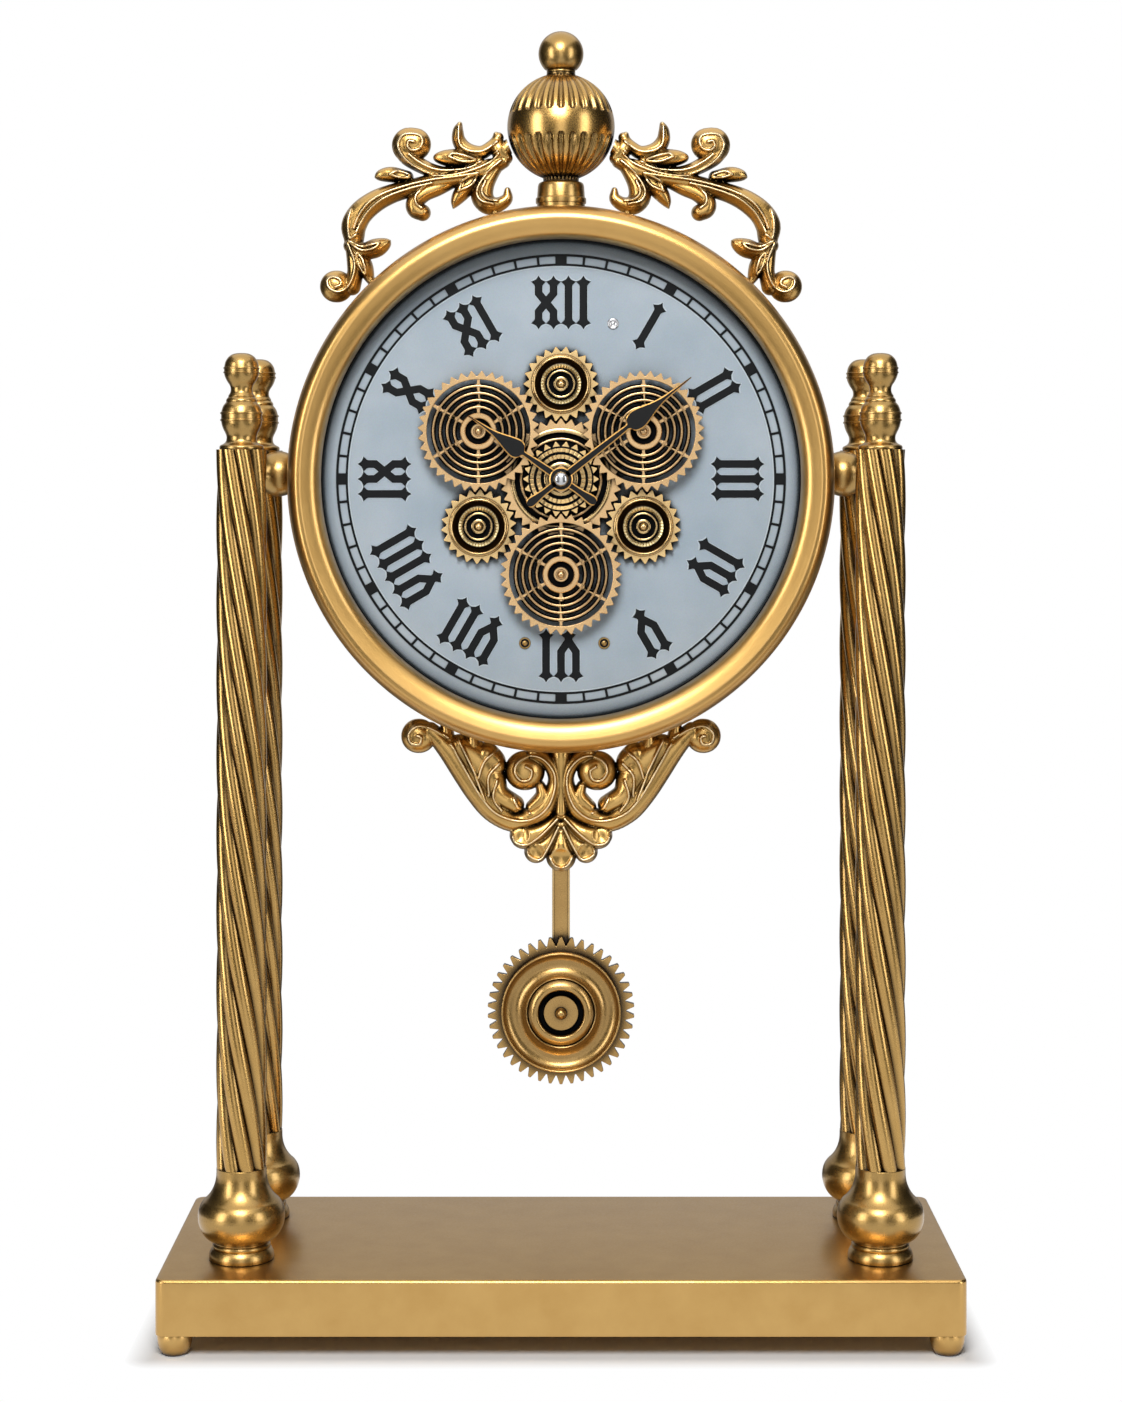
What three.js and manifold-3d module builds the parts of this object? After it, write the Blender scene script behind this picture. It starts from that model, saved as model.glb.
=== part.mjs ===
// Table clock: a drum hung between four twisted columns on a box base, with show wheels on the dial,
// a scroll crest, a scroll bracket and a swinging pendulum.
// Millimetres, +Z up, front towards -Y, origin on the table under the middle of the base.
import * as THREE from "three";
import { mergeVertices } from "three/addons/utils/BufferGeometryUtils.js";
import Module from "manifold-3d";

const wasm = await Module();
wasm.setup();

// Clearance between pieces that seat on or pass through each other
const FIT = 0.3;

// Base and feet
const BASE_HEIGHT = 27;
const BASE_WALL = 2;
const BASE_CORNER = 5;
const BASE_EDGE = 2.5;
const BASE_MARGIN = 37.5;
const BOTTOM_PLATE = 1.6;
const FOOT_HEIGHT = 10.5;
const FOOT_RADIUS = 8.5;
const FOOT_SOLE = 4.6;
const FOOT_INSET = 8.8;

// Columns
const COLUMN_SPACING = 75;
const COLUMN_BASE_HEIGHT = 45;
const COLUMN_BULB_RADIUS = 21.4;
const COLUMN_NECK_RADIUS = 12.6;
const SHAFT_LENGTH = 353;
const SHAFT_RADIUS = 12.4;
const SHAFT_BORE = 8.6;
const SHAFT_LOBES = 8;
const SHAFT_GROOVE = 2.2;
const SHAFT_LEAD = 303;
const FINIAL_HEIGHT = 47.5;
const FINIAL_BALL_RADIUS = 10.5;
const FINIAL_TIP_RADIUS = 9;
const TIE_ROD_RADIUS = 3;
const TIE_ROD_GRIP = 14;
const HEX_HEAD_RADIUS = 5.6;
const HEX_HEAD_HEIGHT = 4;

// Suspension of the drum
const CROSS_ROD_RADIUS = 3;
const CROSS_ROD_DROP = 12;
const CROSS_ROD_GRIP = 6;
const BALL_RADIUS = 11.5;
const BALL_SEAT = 3;
const TRUNNION_RISE = 2.6;
const BOLT_RADIUS = 1.5;
const BOLT_HEAD_RADIUS = 2.8;
const BOLT_HEAD_HEIGHT = 2.2;

// Drum
const CASE_RADIUS = 131.5;
const CASE_WALL = 1.8;
const CASE_FRONT = -20;
const CASE_DEPTH = 46;
const BEZEL_RADIUS = 136.5;
const BEZEL_OPENING = 119.6;
const BEZEL_RISE = 14;
const BEZEL_SKIRT = 3;
const DIAL_SETBACK = 6.8;
const DIAL_THICKNESS = 1.2;
const REAR_RING_THICKNESS = 1.5;
const REAR_RING_OPENING = 98;

// Show wheels, all with pointed teeth of one pitch
const TOOTH_MODULE = 1.64;
const LARGE_TEETH = 36;
const SMALL_TEETH = 22;
const TOOTH_ADDENDUM = 0.75;
const TOOTH_DEPTH = 2.7;
const WHEEL_THICKNESS = 3;
const WHEEL_RIM = 3.2;
const WHEEL_STANDOFF = 1;
const WHEEL_LAYER_GAP = 1.2;
const SPOKES = 6;
const SPOKE_WIDTH = 2.2;
const POST_RADIUS = 1.5;
const POST_SHOULDER = 2.6;
const HUB_RADIUS = 9;
const HUB_RISE = 1.4;
const HUB_WALL = 2;
const CUP_RADIUS = 13.4;
const CUP_RISE = 2.6;

// Movement and hands
const BUSHING_RADIUS = 4.8;
const BUSHING_BORE = 3.3;
const BUSHING_NUT_HEIGHT = 1.6;
const BUSHING_NUT_RADIUS = 7;
const HAND_THICKNESS = 0.8;
const HAND_GAP = 1;
const MINUTE_LENGTH = 82;
const HOUR_LENGTH = 56;
const HAND_TAIL = 21;
const MINUTE_ANGLE = THREE.MathUtils.degToRad(52);
const HOUR_ANGLE = THREE.MathUtils.degToRad(304.33);
const PIPE_RADIUS = 3;
const ARBOR_RADIUS = 1.6;
const HAND_NUT_RADIUS = 3.8;
const HAND_NUT_HEIGHT = 3.5;
const MOVEMENT_WIDTH = 56;
const MOVEMENT_DEPTH = 20;
const CELL_RADIUS = 7.1;
const CELL_LENGTH = 50;
const KNOB_RADIUS = 6.5;
const KNOB_HEIGHT = 4;
const DRIVE_HEIGHT = 44;
const DRIVE_MARGIN = 8;
const DRIVE_DROP = 12;

// Pendulum
const PIVOT_DROP = 72;
const PENDULUM_LENGTH = 198.4;
const PENDULUM_SWING = THREE.MathUtils.degToRad(6);
const ROD_WIDTH = 9;
const ROD_THICKNESS = 1.5;
const BOB_RADIUS = 37.3;
const BOB_TEETH = 42;
const BOB_TOOTH_DEPTH = 4.3;
const BOB_THICKNESS = 4;
const DISH_RADIUS = 30;
const DISH_RISE = 7;
const CAP_RADIUS = 9;

// Ornament
const COLLAR_HEIGHT = 19;
const COLLAR_RADIUS = 12.8;
const GLOBE_RADIUS = 27.2;
const GLOBE_FLUTES = 16;
const FLUTE_DEPTH = 1.4;
const KNOB_BALL_RADIUS = 11.4;
const STUD_RADIUS = 2.5;
const ORNAMENT_BACK = -2;
const ORNAMENT_DEPTH = 10;
const SCROLL_UNIT = 1;

// Heights and places that follow from the dimensions above
const baseTop = FOOT_HEIGHT + BASE_HEIGHT;
const shaftBottom = baseTop + COLUMN_BASE_HEIGHT;
const shaftTop = shaftBottom + SHAFT_LENGTH;
const crossRodZ = shaftTop - CROSS_ROD_DROP;
const drumZ = crossRodZ - TRUNNION_RISE;
const ballHalf = Math.sqrt(BALL_RADIUS ** 2 - BALL_SEAT ** 2);
const ballX = CASE_RADIUS + FIT + ballHalf;
const columnX = ballX + ballHalf + FIT + CROSS_ROD_RADIUS;
const columnY = COLUMN_SPACING / 2;
const baseWidth = 2 * (columnX + BASE_MARGIN);
const baseDepth = COLUMN_SPACING + 2 * BASE_MARGIN;
const caseBack = CASE_FRONT + CASE_DEPTH;
const caseInner = CASE_RADIUS - CASE_WALL;
const dialFront = CASE_FRONT + DIAL_SETBACK;
const dialBack = dialFront + DIAL_THICKNESS;

// Facets round the drum, and how far in the middle of a facet lies
const drumRounds = 32;
const flatShare = Math.cos(Math.PI / drumRounds);

const lacquer = new THREE.MeshStandardMaterial({ color: 0xb98f4a, metalness: 0.9, roughness: 0.35 });
const bronze = new THREE.MeshStandardMaterial({ color: 0x8d6c44, metalness: 0.9, roughness: 0.4 });
const steel = new THREE.MeshStandardMaterial({ color: 0x9c9da0, metalness: 1, roughness: 0.3 });
const dialPaint = new THREE.MeshStandardMaterial({ color: 0x9fb1be, metalness: 0.1, roughness: 0.6 });
const blackPaint = new THREE.MeshStandardMaterial({ color: 0x16161a, metalness: 0.2, roughness: 0.4 });
const blackPlastic = new THREE.MeshStandardMaterial({ color: 0x1c1c1e, metalness: 0, roughness: 0.6 });
const cellWrap = new THREE.MeshStandardMaterial({ color: 0x59616b, metalness: 0.4, roughness: 0.4 });

const clock = new THREE.Group();

function manifoldOf(positions, triangles) {
  const vertProperties = new Float32Array(positions);
  const triVerts = new Uint32Array(triangles);
  return new wasm.Manifold(new wasm.Mesh({ numProp: 3, vertProperties, triVerts }));
}

// A closed geometry as a solid with its faces pointing out
function toSolid(geometry) {
  const bare = new THREE.BufferGeometry();
  bare.setAttribute("position", geometry.getAttribute("position"));
  bare.setIndex(geometry.getIndex());
  const merged = mergeVertices(bare, 1e-4);
  const corners = merged.getIndex().array;
  const triangles = [];
  for (let i = 0; i < corners.length; i += 3) {
    const [a, b, c] = corners.slice(i, i + 3);
    if (a !== b && b !== c && c !== a) triangles.push(a, b, c);
  }
  const positions = merged.getAttribute("position").array;
  const solid = manifoldOf(positions, triangles);
  return solid.volume() > 0 ? solid : manifoldOf(positions, triangles.reverse());
}

function toGeometry(solid) {
  const mesh = solid.getMesh();
  const geometry = new THREE.BufferGeometry();
  geometry.setAttribute("position", new THREE.BufferAttribute(mesh.vertProperties, 3));
  geometry.setIndex(new THREE.BufferAttribute(mesh.triVerts, 1));
  geometry.computeVertexNormals();
  return geometry;
}

function addPiece(parent, name, solid, material) {
  const mesh = new THREE.Mesh(toGeometry(solid), material);
  mesh.name = name;
  parent.add(mesh);
  return mesh;
}

function fuse(solids) {
  return solids.reduce((whole, solid) => whole.add(solid));
}

function vectors(points) {
  return points.map(([x, y]) => new THREE.Vector2(x, y));
}

// Turned pieces: profile points are [radius, distance along the axis]
function turnedAboutY(profile, segments) {
  return toSolid(new THREE.LatheGeometry(vectors(profile), segments));
}

function turnedAboutZ(profile, segments) {
  return toSolid(new THREE.LatheGeometry(vectors(profile), segments).rotateX(Math.PI / 2));
}

function turnedAboutX(profile, segments) {
  return toSolid(new THREE.LatheGeometry(vectors(profile), segments).rotateZ(-Math.PI / 2));
}

// Radius of a faceted hole whose flats clear a round piece
function holeFor(radius, segments) {
  return (radius + FIT) / Math.cos(Math.PI / segments);
}

function rodProfile(radius, from, to) {
  return [[0, from], [radius, from], [radius, to], [0, to]];
}

function tubeProfile(inner, outer, from, to) {
  return [[inner, from], [outer, from], [outer, to], [inner, to], [inner, from]];
}

// Points of a circular arc from one angle to another, for profiles
function arcPoints(centreRadius, centreHeight, radius, fromDegrees, toDegrees, steps) {
  const points = [];
  for (let i = 0; i <= steps; i += 1) {
    const angle = THREE.MathUtils.degToRad(fromDegrees + ((toDegrees - fromDegrees) * i) / steps);
    points.push([centreRadius + radius * Math.cos(angle), centreHeight + radius * Math.sin(angle)]);
  }
  return points;
}

// A plate seen face on from the front: shape x is X, shape y is Z
function facePlate(shape, front, back, curveSegments = 4) {
  const options = { depth: back - front, bevelEnabled: false, curveSegments };
  return toSolid(new THREE.ExtrudeGeometry(shape, options).rotateX(Math.PI / 2).translate(0, back, 0));
}

function boxBetween(low, high) {
  const size = high.map((value, axis) => value - low[axis]);
  const centre = high.map((value, axis) => (value + low[axis]) / 2);
  return toSolid(new THREE.BoxGeometry(...size).translate(...centre));
}

function roundedRectangle(width, depth, radius) {
  const x = width / 2 - radius;
  const y = depth / 2 - radius;
  const shape = new THREE.Shape();
  shape.absarc(x, y, radius, 0, Math.PI / 2);
  shape.absarc(-x, y, radius, Math.PI / 2, Math.PI);
  shape.absarc(-x, -y, radius, Math.PI, Math.PI * 1.5);
  shape.absarc(x, -y, radius, Math.PI * 1.5, Math.PI * 2);
  return shape;
}

function flatPlate(shape, bottom, top) {
  const options = { depth: top - bottom, bevelEnabled: false, curveSegments: 2 };
  return toSolid(new THREE.ExtrudeGeometry(shape, options).translate(0, 0, bottom));
}

const corners = [];
for (const [depthName, sideY] of [["front", -1], ["rear", 1]]) {
  for (const [widthName, sideX] of [["left", -1], ["right", 1]]) {
    corners.push({ place: `${depthName}_${widthName}`, sideX, sideY });
  }
}

// Base: a folded tray with a soft top edge, drilled for the four tie rods, and its bottom plate
function baseShell() {
  const edge = 2 * BASE_EDGE;
  const wall = 2 * BASE_WALL;
  const outline = roundedRectangle(baseWidth - edge, baseDepth - edge, BASE_CORNER - BASE_EDGE);
  const options = {
    depth: BASE_HEIGHT,
    bevelThickness: BASE_EDGE,
    bevelSize: BASE_EDGE,
    bevelSegments: 1,
    curveSegments: 2,
  };
  const block = new THREE.ExtrudeGeometry(outline, options).translate(0, 0, FOOT_HEIGHT - BASE_EDGE);
  const below = boxBetween([-baseWidth, -baseDepth, 0], [baseWidth, baseDepth, FOOT_HEIGHT]);
  const pocket = roundedRectangle(baseWidth - wall, baseDepth - wall, BASE_CORNER - BASE_WALL);
  let tray = toSolid(block).subtract(below);
  tray = tray.subtract(flatPlate(pocket, 0, baseTop - BASE_WALL));
  for (const { sideX, sideY } of corners) {
    const hole = turnedAboutZ(rodProfile(holeFor(TIE_ROD_RADIUS, 6), FOOT_HEIGHT, baseTop + 1), 6);
    tray = tray.subtract(hole.translate([sideX * columnX, sideY * columnY, 0]));
  }
  return tray;
}

function bottomPlate() {
  const inset = 2 * (BASE_WALL + FIT);
  const outline = roundedRectangle(baseWidth - inset, baseDepth - inset, BASE_CORNER - BASE_WALL);
  return flatPlate(outline, FOOT_HEIGHT, FOOT_HEIGHT + BOTTOM_PLATE);
}

// A bowl-shaped foot, widest just under the base
function foot() {
  const profile = [
    [0, 0],
    [FOOT_SOLE, 0],
    [FOOT_RADIUS * 0.85, FOOT_HEIGHT * 0.34],
    [FOOT_RADIUS, FOOT_HEIGHT * 0.76],
    [FOOT_RADIUS * 0.96, FOOT_HEIGHT],
    [0, FOOT_HEIGHT],
  ];
  return turnedAboutZ(profile, 8);
}

addPiece(clock, "base_shell", baseShell(), lacquer);
addPiece(clock, "base_bottom_plate", bottomPlate(), lacquer);
for (const { place, sideX, sideY } of corners) {
  const mesh = addPiece(clock, `foot_${place}`, foot(), lacquer);
  mesh.position.set(sideX * (baseWidth / 2 - FOOT_INSET), sideY * (baseDepth / 2 - FOOT_INSET), 0);
}

const turnedRounds = 10;

// Columns: bulb, twisted tube and two-ball finial, clamped to the tray by a tie rod
function columnBase() {
  const bore = holeFor(TIE_ROD_RADIUS, turnedRounds);
  const h = COLUMN_BASE_HEIGHT;
  const r = COLUMN_BULB_RADIUS;
  const profile = [
    [bore, 0],
    [r * 0.75, 0],
    [r * 0.65, h * 0.19],
    [r * 0.92, h * 0.32],
    [r, h * 0.47],
    [r * 0.88, h * 0.62],
    [COLUMN_NECK_RADIUS * 1.1, h * 0.76],
    [COLUMN_NECK_RADIUS, h],
    [bore, h],
    [bore, 0],
  ];
  return turnedAboutZ(profile, turnedRounds);
}

// Rope-like section: rounded lobes that meet in sharp grooves, wound to the left going up
function lobedSection() {
  const pointsPerLobe = 2;
  const points = [];
  for (let i = 0; i < SHAFT_LOBES * pointsPerLobe; i += 1) {
    const swell = Math.abs(Math.sin((Math.PI * i) / pointsPerLobe));
    const radius = SHAFT_RADIUS - SHAFT_GROOVE * (1 - swell);
    const angle = (2 * Math.PI * i) / (SHAFT_LOBES * pointsPerLobe);
    points.push(new THREE.Vector2(radius * Math.cos(angle), radius * Math.sin(angle)));
  }
  return new THREE.Shape(points);
}

function columnShaft() {
  const options = { depth: SHAFT_LENGTH, steps: 11, bevelEnabled: false };
  const geometry = new THREE.ExtrudeGeometry(lobedSection(), options);
  const position = geometry.getAttribute("position");
  const axis = new THREE.Vector3(0, 0, 1);
  const point = new THREE.Vector3();
  for (let i = 0; i < position.count; i += 1) {
    point.fromBufferAttribute(position, i);
    point.applyAxisAngle(axis, (-2 * Math.PI * point.z) / SHAFT_LEAD);
    position.setXYZ(i, point.x, point.y, point.z);
  }
  const bore = turnedAboutZ(rodProfile(SHAFT_BORE, -1, SHAFT_LENGTH + 1), 8);
  const socket = turnedAboutY(rodProfile(holeFor(CROSS_ROD_RADIUS, 8), 0, 2 * SHAFT_RADIUS), 8);
  return toSolid(geometry)
    .subtract(bore)
    .subtract(socket.translate([0, 0, SHAFT_LENGTH - CROSS_ROD_DROP]));
}

function columnFinial() {
  const bore = holeFor(TIE_ROD_RADIUS, turnedRounds);
  const ball = FINIAL_BALL_RADIUS;
  const tip = FINIAL_TIP_RADIUS;
  const ballZ = FINIAL_HEIGHT * 0.34;
  const tipZ = FINIAL_HEIGHT - tip;
  const profile = [
    [0, TIE_ROD_GRIP + FIT],
    [bore, TIE_ROD_GRIP + FIT],
    [bore, 0],
    [ball * 1.03, 0],
    [ball * 0.74, FINIAL_HEIGHT * 0.12],
    ...arcPoints(0, ballZ, ball, -20, 54, 2),
    [ball * 0.6, FINIAL_HEIGHT * 0.58],
    ...arcPoints(0, tipZ, tip, -40, 90, 3),
  ];
  return turnedAboutZ(profile, turnedRounds);
}

function tieRod() {
  const headTop = baseTop - BASE_WALL - FIT;
  const profile = [
    [0, headTop - HEX_HEAD_HEIGHT],
    [HEX_HEAD_RADIUS, headTop - HEX_HEAD_HEIGHT],
    [HEX_HEAD_RADIUS, headTop],
    [TIE_ROD_RADIUS, headTop],
    [TIE_ROD_RADIUS, shaftTop + TIE_ROD_GRIP],
    [0, shaftTop + TIE_ROD_GRIP],
  ];
  return turnedAboutZ(profile, 6);
}

for (const { place, sideX, sideY } of corners) {
  const column = new THREE.Group();
  column.position.set(sideX * columnX, sideY * columnY, 0);
  column.rotation.z = sideY < 0 ? 0 : Math.PI;
  clock.add(column);
  addPiece(column, `column_base_${place}`, columnBase(), lacquer).position.z = baseTop;
  addPiece(column, `column_shaft_${place}`, columnShaft(), lacquer).position.z = shaftBottom;
  addPiece(column, `column_finial_${place}`, columnFinial(), lacquer).position.z = shaftTop;
  addPiece(column, `tie_rod_${place}`, tieRod(), steel);
}

// Suspension: a cross rod between front and rear columns, and a ball bolted between rod and drum
function crossRod() {
  const half = columnY - CROSS_ROD_GRIP;
  const rod = turnedAboutY(rodProfile(CROSS_ROD_RADIUS, -half, half), 8);
  const reach = 2 * CROSS_ROD_RADIUS;
  return rod.subtract(turnedAboutX(rodProfile(holeFor(BOLT_RADIUS, 6), -reach, reach), 6));
}

function trunnionBall() {
  const bore = holeFor(BOLT_RADIUS, turnedRounds);
  const seatAngle = THREE.MathUtils.radToDeg(Math.asin(ballHalf / BALL_RADIUS));
  const profile = [
    [bore, -ballHalf],
    ...arcPoints(0, 0, BALL_RADIUS, -seatAngle, seatAngle, 4),
    [bore, ballHalf],
    [bore, -ballHalf],
  ];
  return turnedAboutX(profile, turnedRounds);
}

// Head outside the cross rod, nut inside the drum
function trunnionBolt() {
  const head = CROSS_ROD_RADIUS + FIT;
  const nutReach = TRUNNION_RISE + BOLT_HEAD_RADIUS;
  const nut = Math.sqrt((caseInner * flatShare) ** 2 - nutReach ** 2) - columnX - FIT;
  const profile = [
    [0, nut - BOLT_HEAD_HEIGHT],
    [BOLT_HEAD_RADIUS, nut - BOLT_HEAD_HEIGHT],
    [BOLT_HEAD_RADIUS, nut],
    [BOLT_RADIUS, nut],
    [BOLT_RADIUS, head],
    [BOLT_HEAD_RADIUS, head],
    [BOLT_HEAD_RADIUS, head + BOLT_HEAD_HEIGHT],
    [0, head + BOLT_HEAD_HEIGHT],
  ];
  return turnedAboutX(profile, 6);
}

for (const [side, turn] of [["left", Math.PI], ["right", 0]]) {
  const arm = new THREE.Group();
  arm.position.set(0, 0, crossRodZ);
  arm.rotation.z = turn;
  clock.add(arm);
  addPiece(arm, `cross_rod_${side}`, crossRod(), steel).position.x = columnX;
  addPiece(arm, `trunnion_ball_${side}`, trunnionBall(), lacquer).position.x = ballX;
  addPiece(arm, `trunnion_bolt_${side}`, trunnionBolt(), steel).position.x = columnX;
}

// Drum: everything on it is placed from the middle of the dial
const drum = new THREE.Group();
drum.position.z = drumZ;
clock.add(drum);

const movementBack = dialBack + MOVEMENT_DEPTH;
const rodFront = movementBack + HAND_GAP;
const rodBack = rodFront + ROD_THICKNESS;

function caseShell() {
  const slotWidth = ROD_WIDTH / 2 + (CASE_RADIUS - PIVOT_DROP) * Math.tan(PENDULUM_SWING) + 2;
  const slotMargin = 3;
  const slot = boxBetween(
    [-slotWidth, rodFront - slotMargin, -CASE_RADIUS - 1],
    [slotWidth, rodBack + slotMargin, -CASE_RADIUS * 0.9],
  );
  const through = CASE_RADIUS + 1;
  const boltHole = turnedAboutX(rodProfile(holeFor(BOLT_RADIUS, 6), -through, through), 6);
  const studHole = turnedAboutZ(rodProfile(holeFor(STUD_RADIUS, 6), 0, through), 6);
  const shell = turnedAboutY(tubeProfile(caseInner, CASE_RADIUS, CASE_FRONT, caseBack), drumRounds);
  return shell.subtract(slot).subtract(boltHole.translate([0, 0, TRUNNION_RISE])).subtract(studHole);
}

// Rounded ring whose skirt wraps the front edge of the case; its lip covers the rim of the dial
function bezel() {
  const crest = CASE_FRONT - BEZEL_RISE;
  const width = BEZEL_RADIUS - BEZEL_OPENING;
  const wrap = CASE_RADIUS + FIT;
  const profile = [
    [BEZEL_OPENING, CASE_FRONT - FIT],
    [BEZEL_OPENING, crest + BEZEL_RISE * 0.5],
    [BEZEL_OPENING + width * 0.16, crest + BEZEL_RISE * 0.14],
    [BEZEL_OPENING + width * 0.42, crest],
    [BEZEL_OPENING + width * 0.8, crest + BEZEL_RISE * 0.2],
    [BEZEL_RADIUS, crest + BEZEL_RISE * 0.7],
    [wrap, CASE_FRONT + BEZEL_SKIRT],
    [wrap, CASE_FRONT - FIT],
    [BEZEL_OPENING, CASE_FRONT - FIT],
  ];
  return turnedAboutY(profile, drumRounds);
}

function rearRing() {
  const front = caseBack + FIT;
  return turnedAboutY(
    tubeProfile(REAR_RING_OPENING, CASE_RADIUS, front, front + REAR_RING_THICKNESS),
    drumRounds,
  );
}

addPiece(drum, "case_shell", caseShell(), lacquer);
addPiece(drum, "bezel", bezel(), lacquer);
addPiece(drum, "rear_ring", rearRing(), lacquer);

// Show wheels: the rear layer has the large centre ring and three cup wheels,
// the front layer has the small centre ring and three grille wheels
const largeTip = (LARGE_TEETH * TOOTH_MODULE) / 2 + TOOTH_ADDENDUM;
const smallTip = (SMALL_TEETH * TOOTH_MODULE) / 2 + TOOTH_ADDENDUM;
const wheelDistance = ((LARGE_TEETH + SMALL_TEETH) * TOOTH_MODULE) / 2;
const rearLayer = {
  back: dialFront - WHEEL_STANDOFF,
  front: dialFront - WHEEL_STANDOFF - WHEEL_THICKNESS,
};
const frontLayer = {
  back: rearLayer.front - WHEEL_LAYER_GAP,
  front: rearLayer.front - WHEEL_LAYER_GAP - WHEEL_THICKNESS,
};
const wheelPlaces = {
  cup_wheel_top: 90,
  cup_wheel_left: 210,
  cup_wheel_right: 330,
  grille_wheel_left: 150,
  grille_wheel_right: 30,
  grille_wheel_lower: 270,
};

function wheelCentre(degrees) {
  const angle = THREE.MathUtils.degToRad(degrees);
  return [wheelDistance * Math.cos(angle), 0, wheelDistance * Math.sin(angle)];
}

// Turn that puts a tooth gap of a wheel opposite a tooth of the centre ring
function meshPhase(degrees, centreTeeth, teeth) {
  const angle = THREE.MathUtils.degToRad(degrees);
  return angle + Math.PI + (angle * centreTeeth) / teeth + Math.PI / teeth;
}

// Pointed teeth: tips and valleys by turns
function toothedShape(teeth, tip, depth, phase) {
  const points = [];
  for (let i = 0; i < 2 * teeth; i += 1) {
    const radius = i % 2 === 0 ? tip : tip - depth;
    const angle = phase + (Math.PI * i) / teeth;
    points.push(new THREE.Vector2(radius * Math.cos(angle), radius * Math.sin(angle)));
  }
  return new THREE.Shape(points);
}

function circlePath(radius) {
  return new THREE.Path().absarc(0, 0, radius, 0, 2 * Math.PI);
}

// Window between two spokes, bounded by two arcs
function spokeWindow(inner, outer, index, phase, arcSteps) {
  const middle = phase + (2 * Math.PI * (index + 0.5)) / SPOKES;
  const points = [];
  for (const [radius, direction] of [[outer, 1], [inner, -1]]) {
    const half = Math.PI / SPOKES - SPOKE_WIDTH / 2 / radius;
    for (let i = 0; i <= arcSteps; i += 1) {
      const angle = middle + direction * half * ((2 * i) / arcSteps - 1);
      points.push(new THREE.Vector2(radius * Math.cos(angle), radius * Math.sin(angle)));
    }
  }
  return new THREE.Path(points);
}

// Raised ring on the front face of a wheel, sunk a little so that it joins the face
function raisedRing(inner, outer, front, rise) {
  return turnedAboutY(tubeProfile(inner, outer, front - rise, front + WHEEL_THICKNESS / 2), turnedRounds);
}

function wheelBore(radius, layer) {
  const reach = 2 * WHEEL_THICKNESS;
  const profile = rodProfile(holeFor(radius, turnedRounds), layer.front - reach, layer.back + reach);
  return turnedAboutY(profile, turnedRounds);
}

function grilleWheel(phase) {
  const shape = toothedShape(LARGE_TEETH, largeTip, TOOTH_DEPTH, phase);
  const windowOuter = largeTip - TOOTH_DEPTH - WHEEL_RIM;
  const ring = (windowOuter + HUB_RADIUS) / 2;
  for (let i = 0; i < SPOKES; i += 1) {
    shape.holes.push(spokeWindow(ring + SPOKE_WIDTH / 2, windowOuter, i, Math.PI / 2, 2));
    shape.holes.push(spokeWindow(HUB_RADIUS + HUB_WALL / 2, ring - SPOKE_WIDTH / 2, i, Math.PI / 2, 1));
  }
  return facePlate(shape, frontLayer.front, frontLayer.back)
    .add(raisedRing(HUB_RADIUS - HUB_WALL, HUB_RADIUS, frontLayer.front, HUB_RISE))
    .subtract(wheelBore(POST_RADIUS, frontLayer));
}

function cupWheel(phase) {
  const shape = toothedShape(SMALL_TEETH, smallTip, TOOTH_DEPTH, phase);
  return facePlate(shape, rearLayer.front, rearLayer.back)
    .add(raisedRing(CUP_RADIUS - HUB_WALL, CUP_RADIUS, rearLayer.front, CUP_RISE))
    .subtract(wheelBore(POST_RADIUS, rearLayer));
}

const nutBack = frontLayer.front - HUB_RISE - FIT;
const nutFront = nutBack - BUSHING_NUT_HEIGHT;

function centreWheel() {
  const rear = toothedShape(LARGE_TEETH, largeTip, TOOTH_DEPTH, 0);
  const front = toothedShape(SMALL_TEETH, smallTip, TOOTH_DEPTH, 0);
  const hubRadius = BUSHING_NUT_RADIUS + HUB_WALL;
  const hub = rodProfile(hubRadius, dialFront - FIT, frontLayer.front - HUB_RISE);
  return facePlate(rear, rearLayer.front, rearLayer.back)
    .add(facePlate(front, frontLayer.front, frontLayer.back))
    .add(turnedAboutY(hub, turnedRounds))
    .subtract(wheelBore(BUSHING_RADIUS, { front: frontLayer.front, back: dialFront }));
}

// Riveted post: a shoulder behind the wheel, a pin through it and a peened head in front
function wheelPost(layer, rise) {
  const head = layer.front - rise - FIT;
  const profile = [
    [0, dialBack],
    [POST_SHOULDER, dialBack],
    [POST_SHOULDER, layer.back + FIT],
    [POST_RADIUS, layer.back + FIT],
    [POST_RADIUS, head],
    [POST_SHOULDER, head],
    [0, head - POST_RADIUS],
  ];
  return turnedAboutY(profile, 5);
}

// The right grille wheel turns with the drive unit's output: its arbor runs back through the dial
const arborEnd = dialBack + 7;

function driveArbor() {
  const { front } = frontLayer;
  const profile = [
    [0, front - HUB_RISE - 1],
    [POST_SHOULDER, front - FIT],
    [POST_SHOULDER, dialFront - FIT],
    [POST_RADIUS, dialFront - FIT],
    [POST_RADIUS, arborEnd],
    [0, arborEnd],
  ];
  return turnedAboutY(profile, turnedRounds);
}

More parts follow.
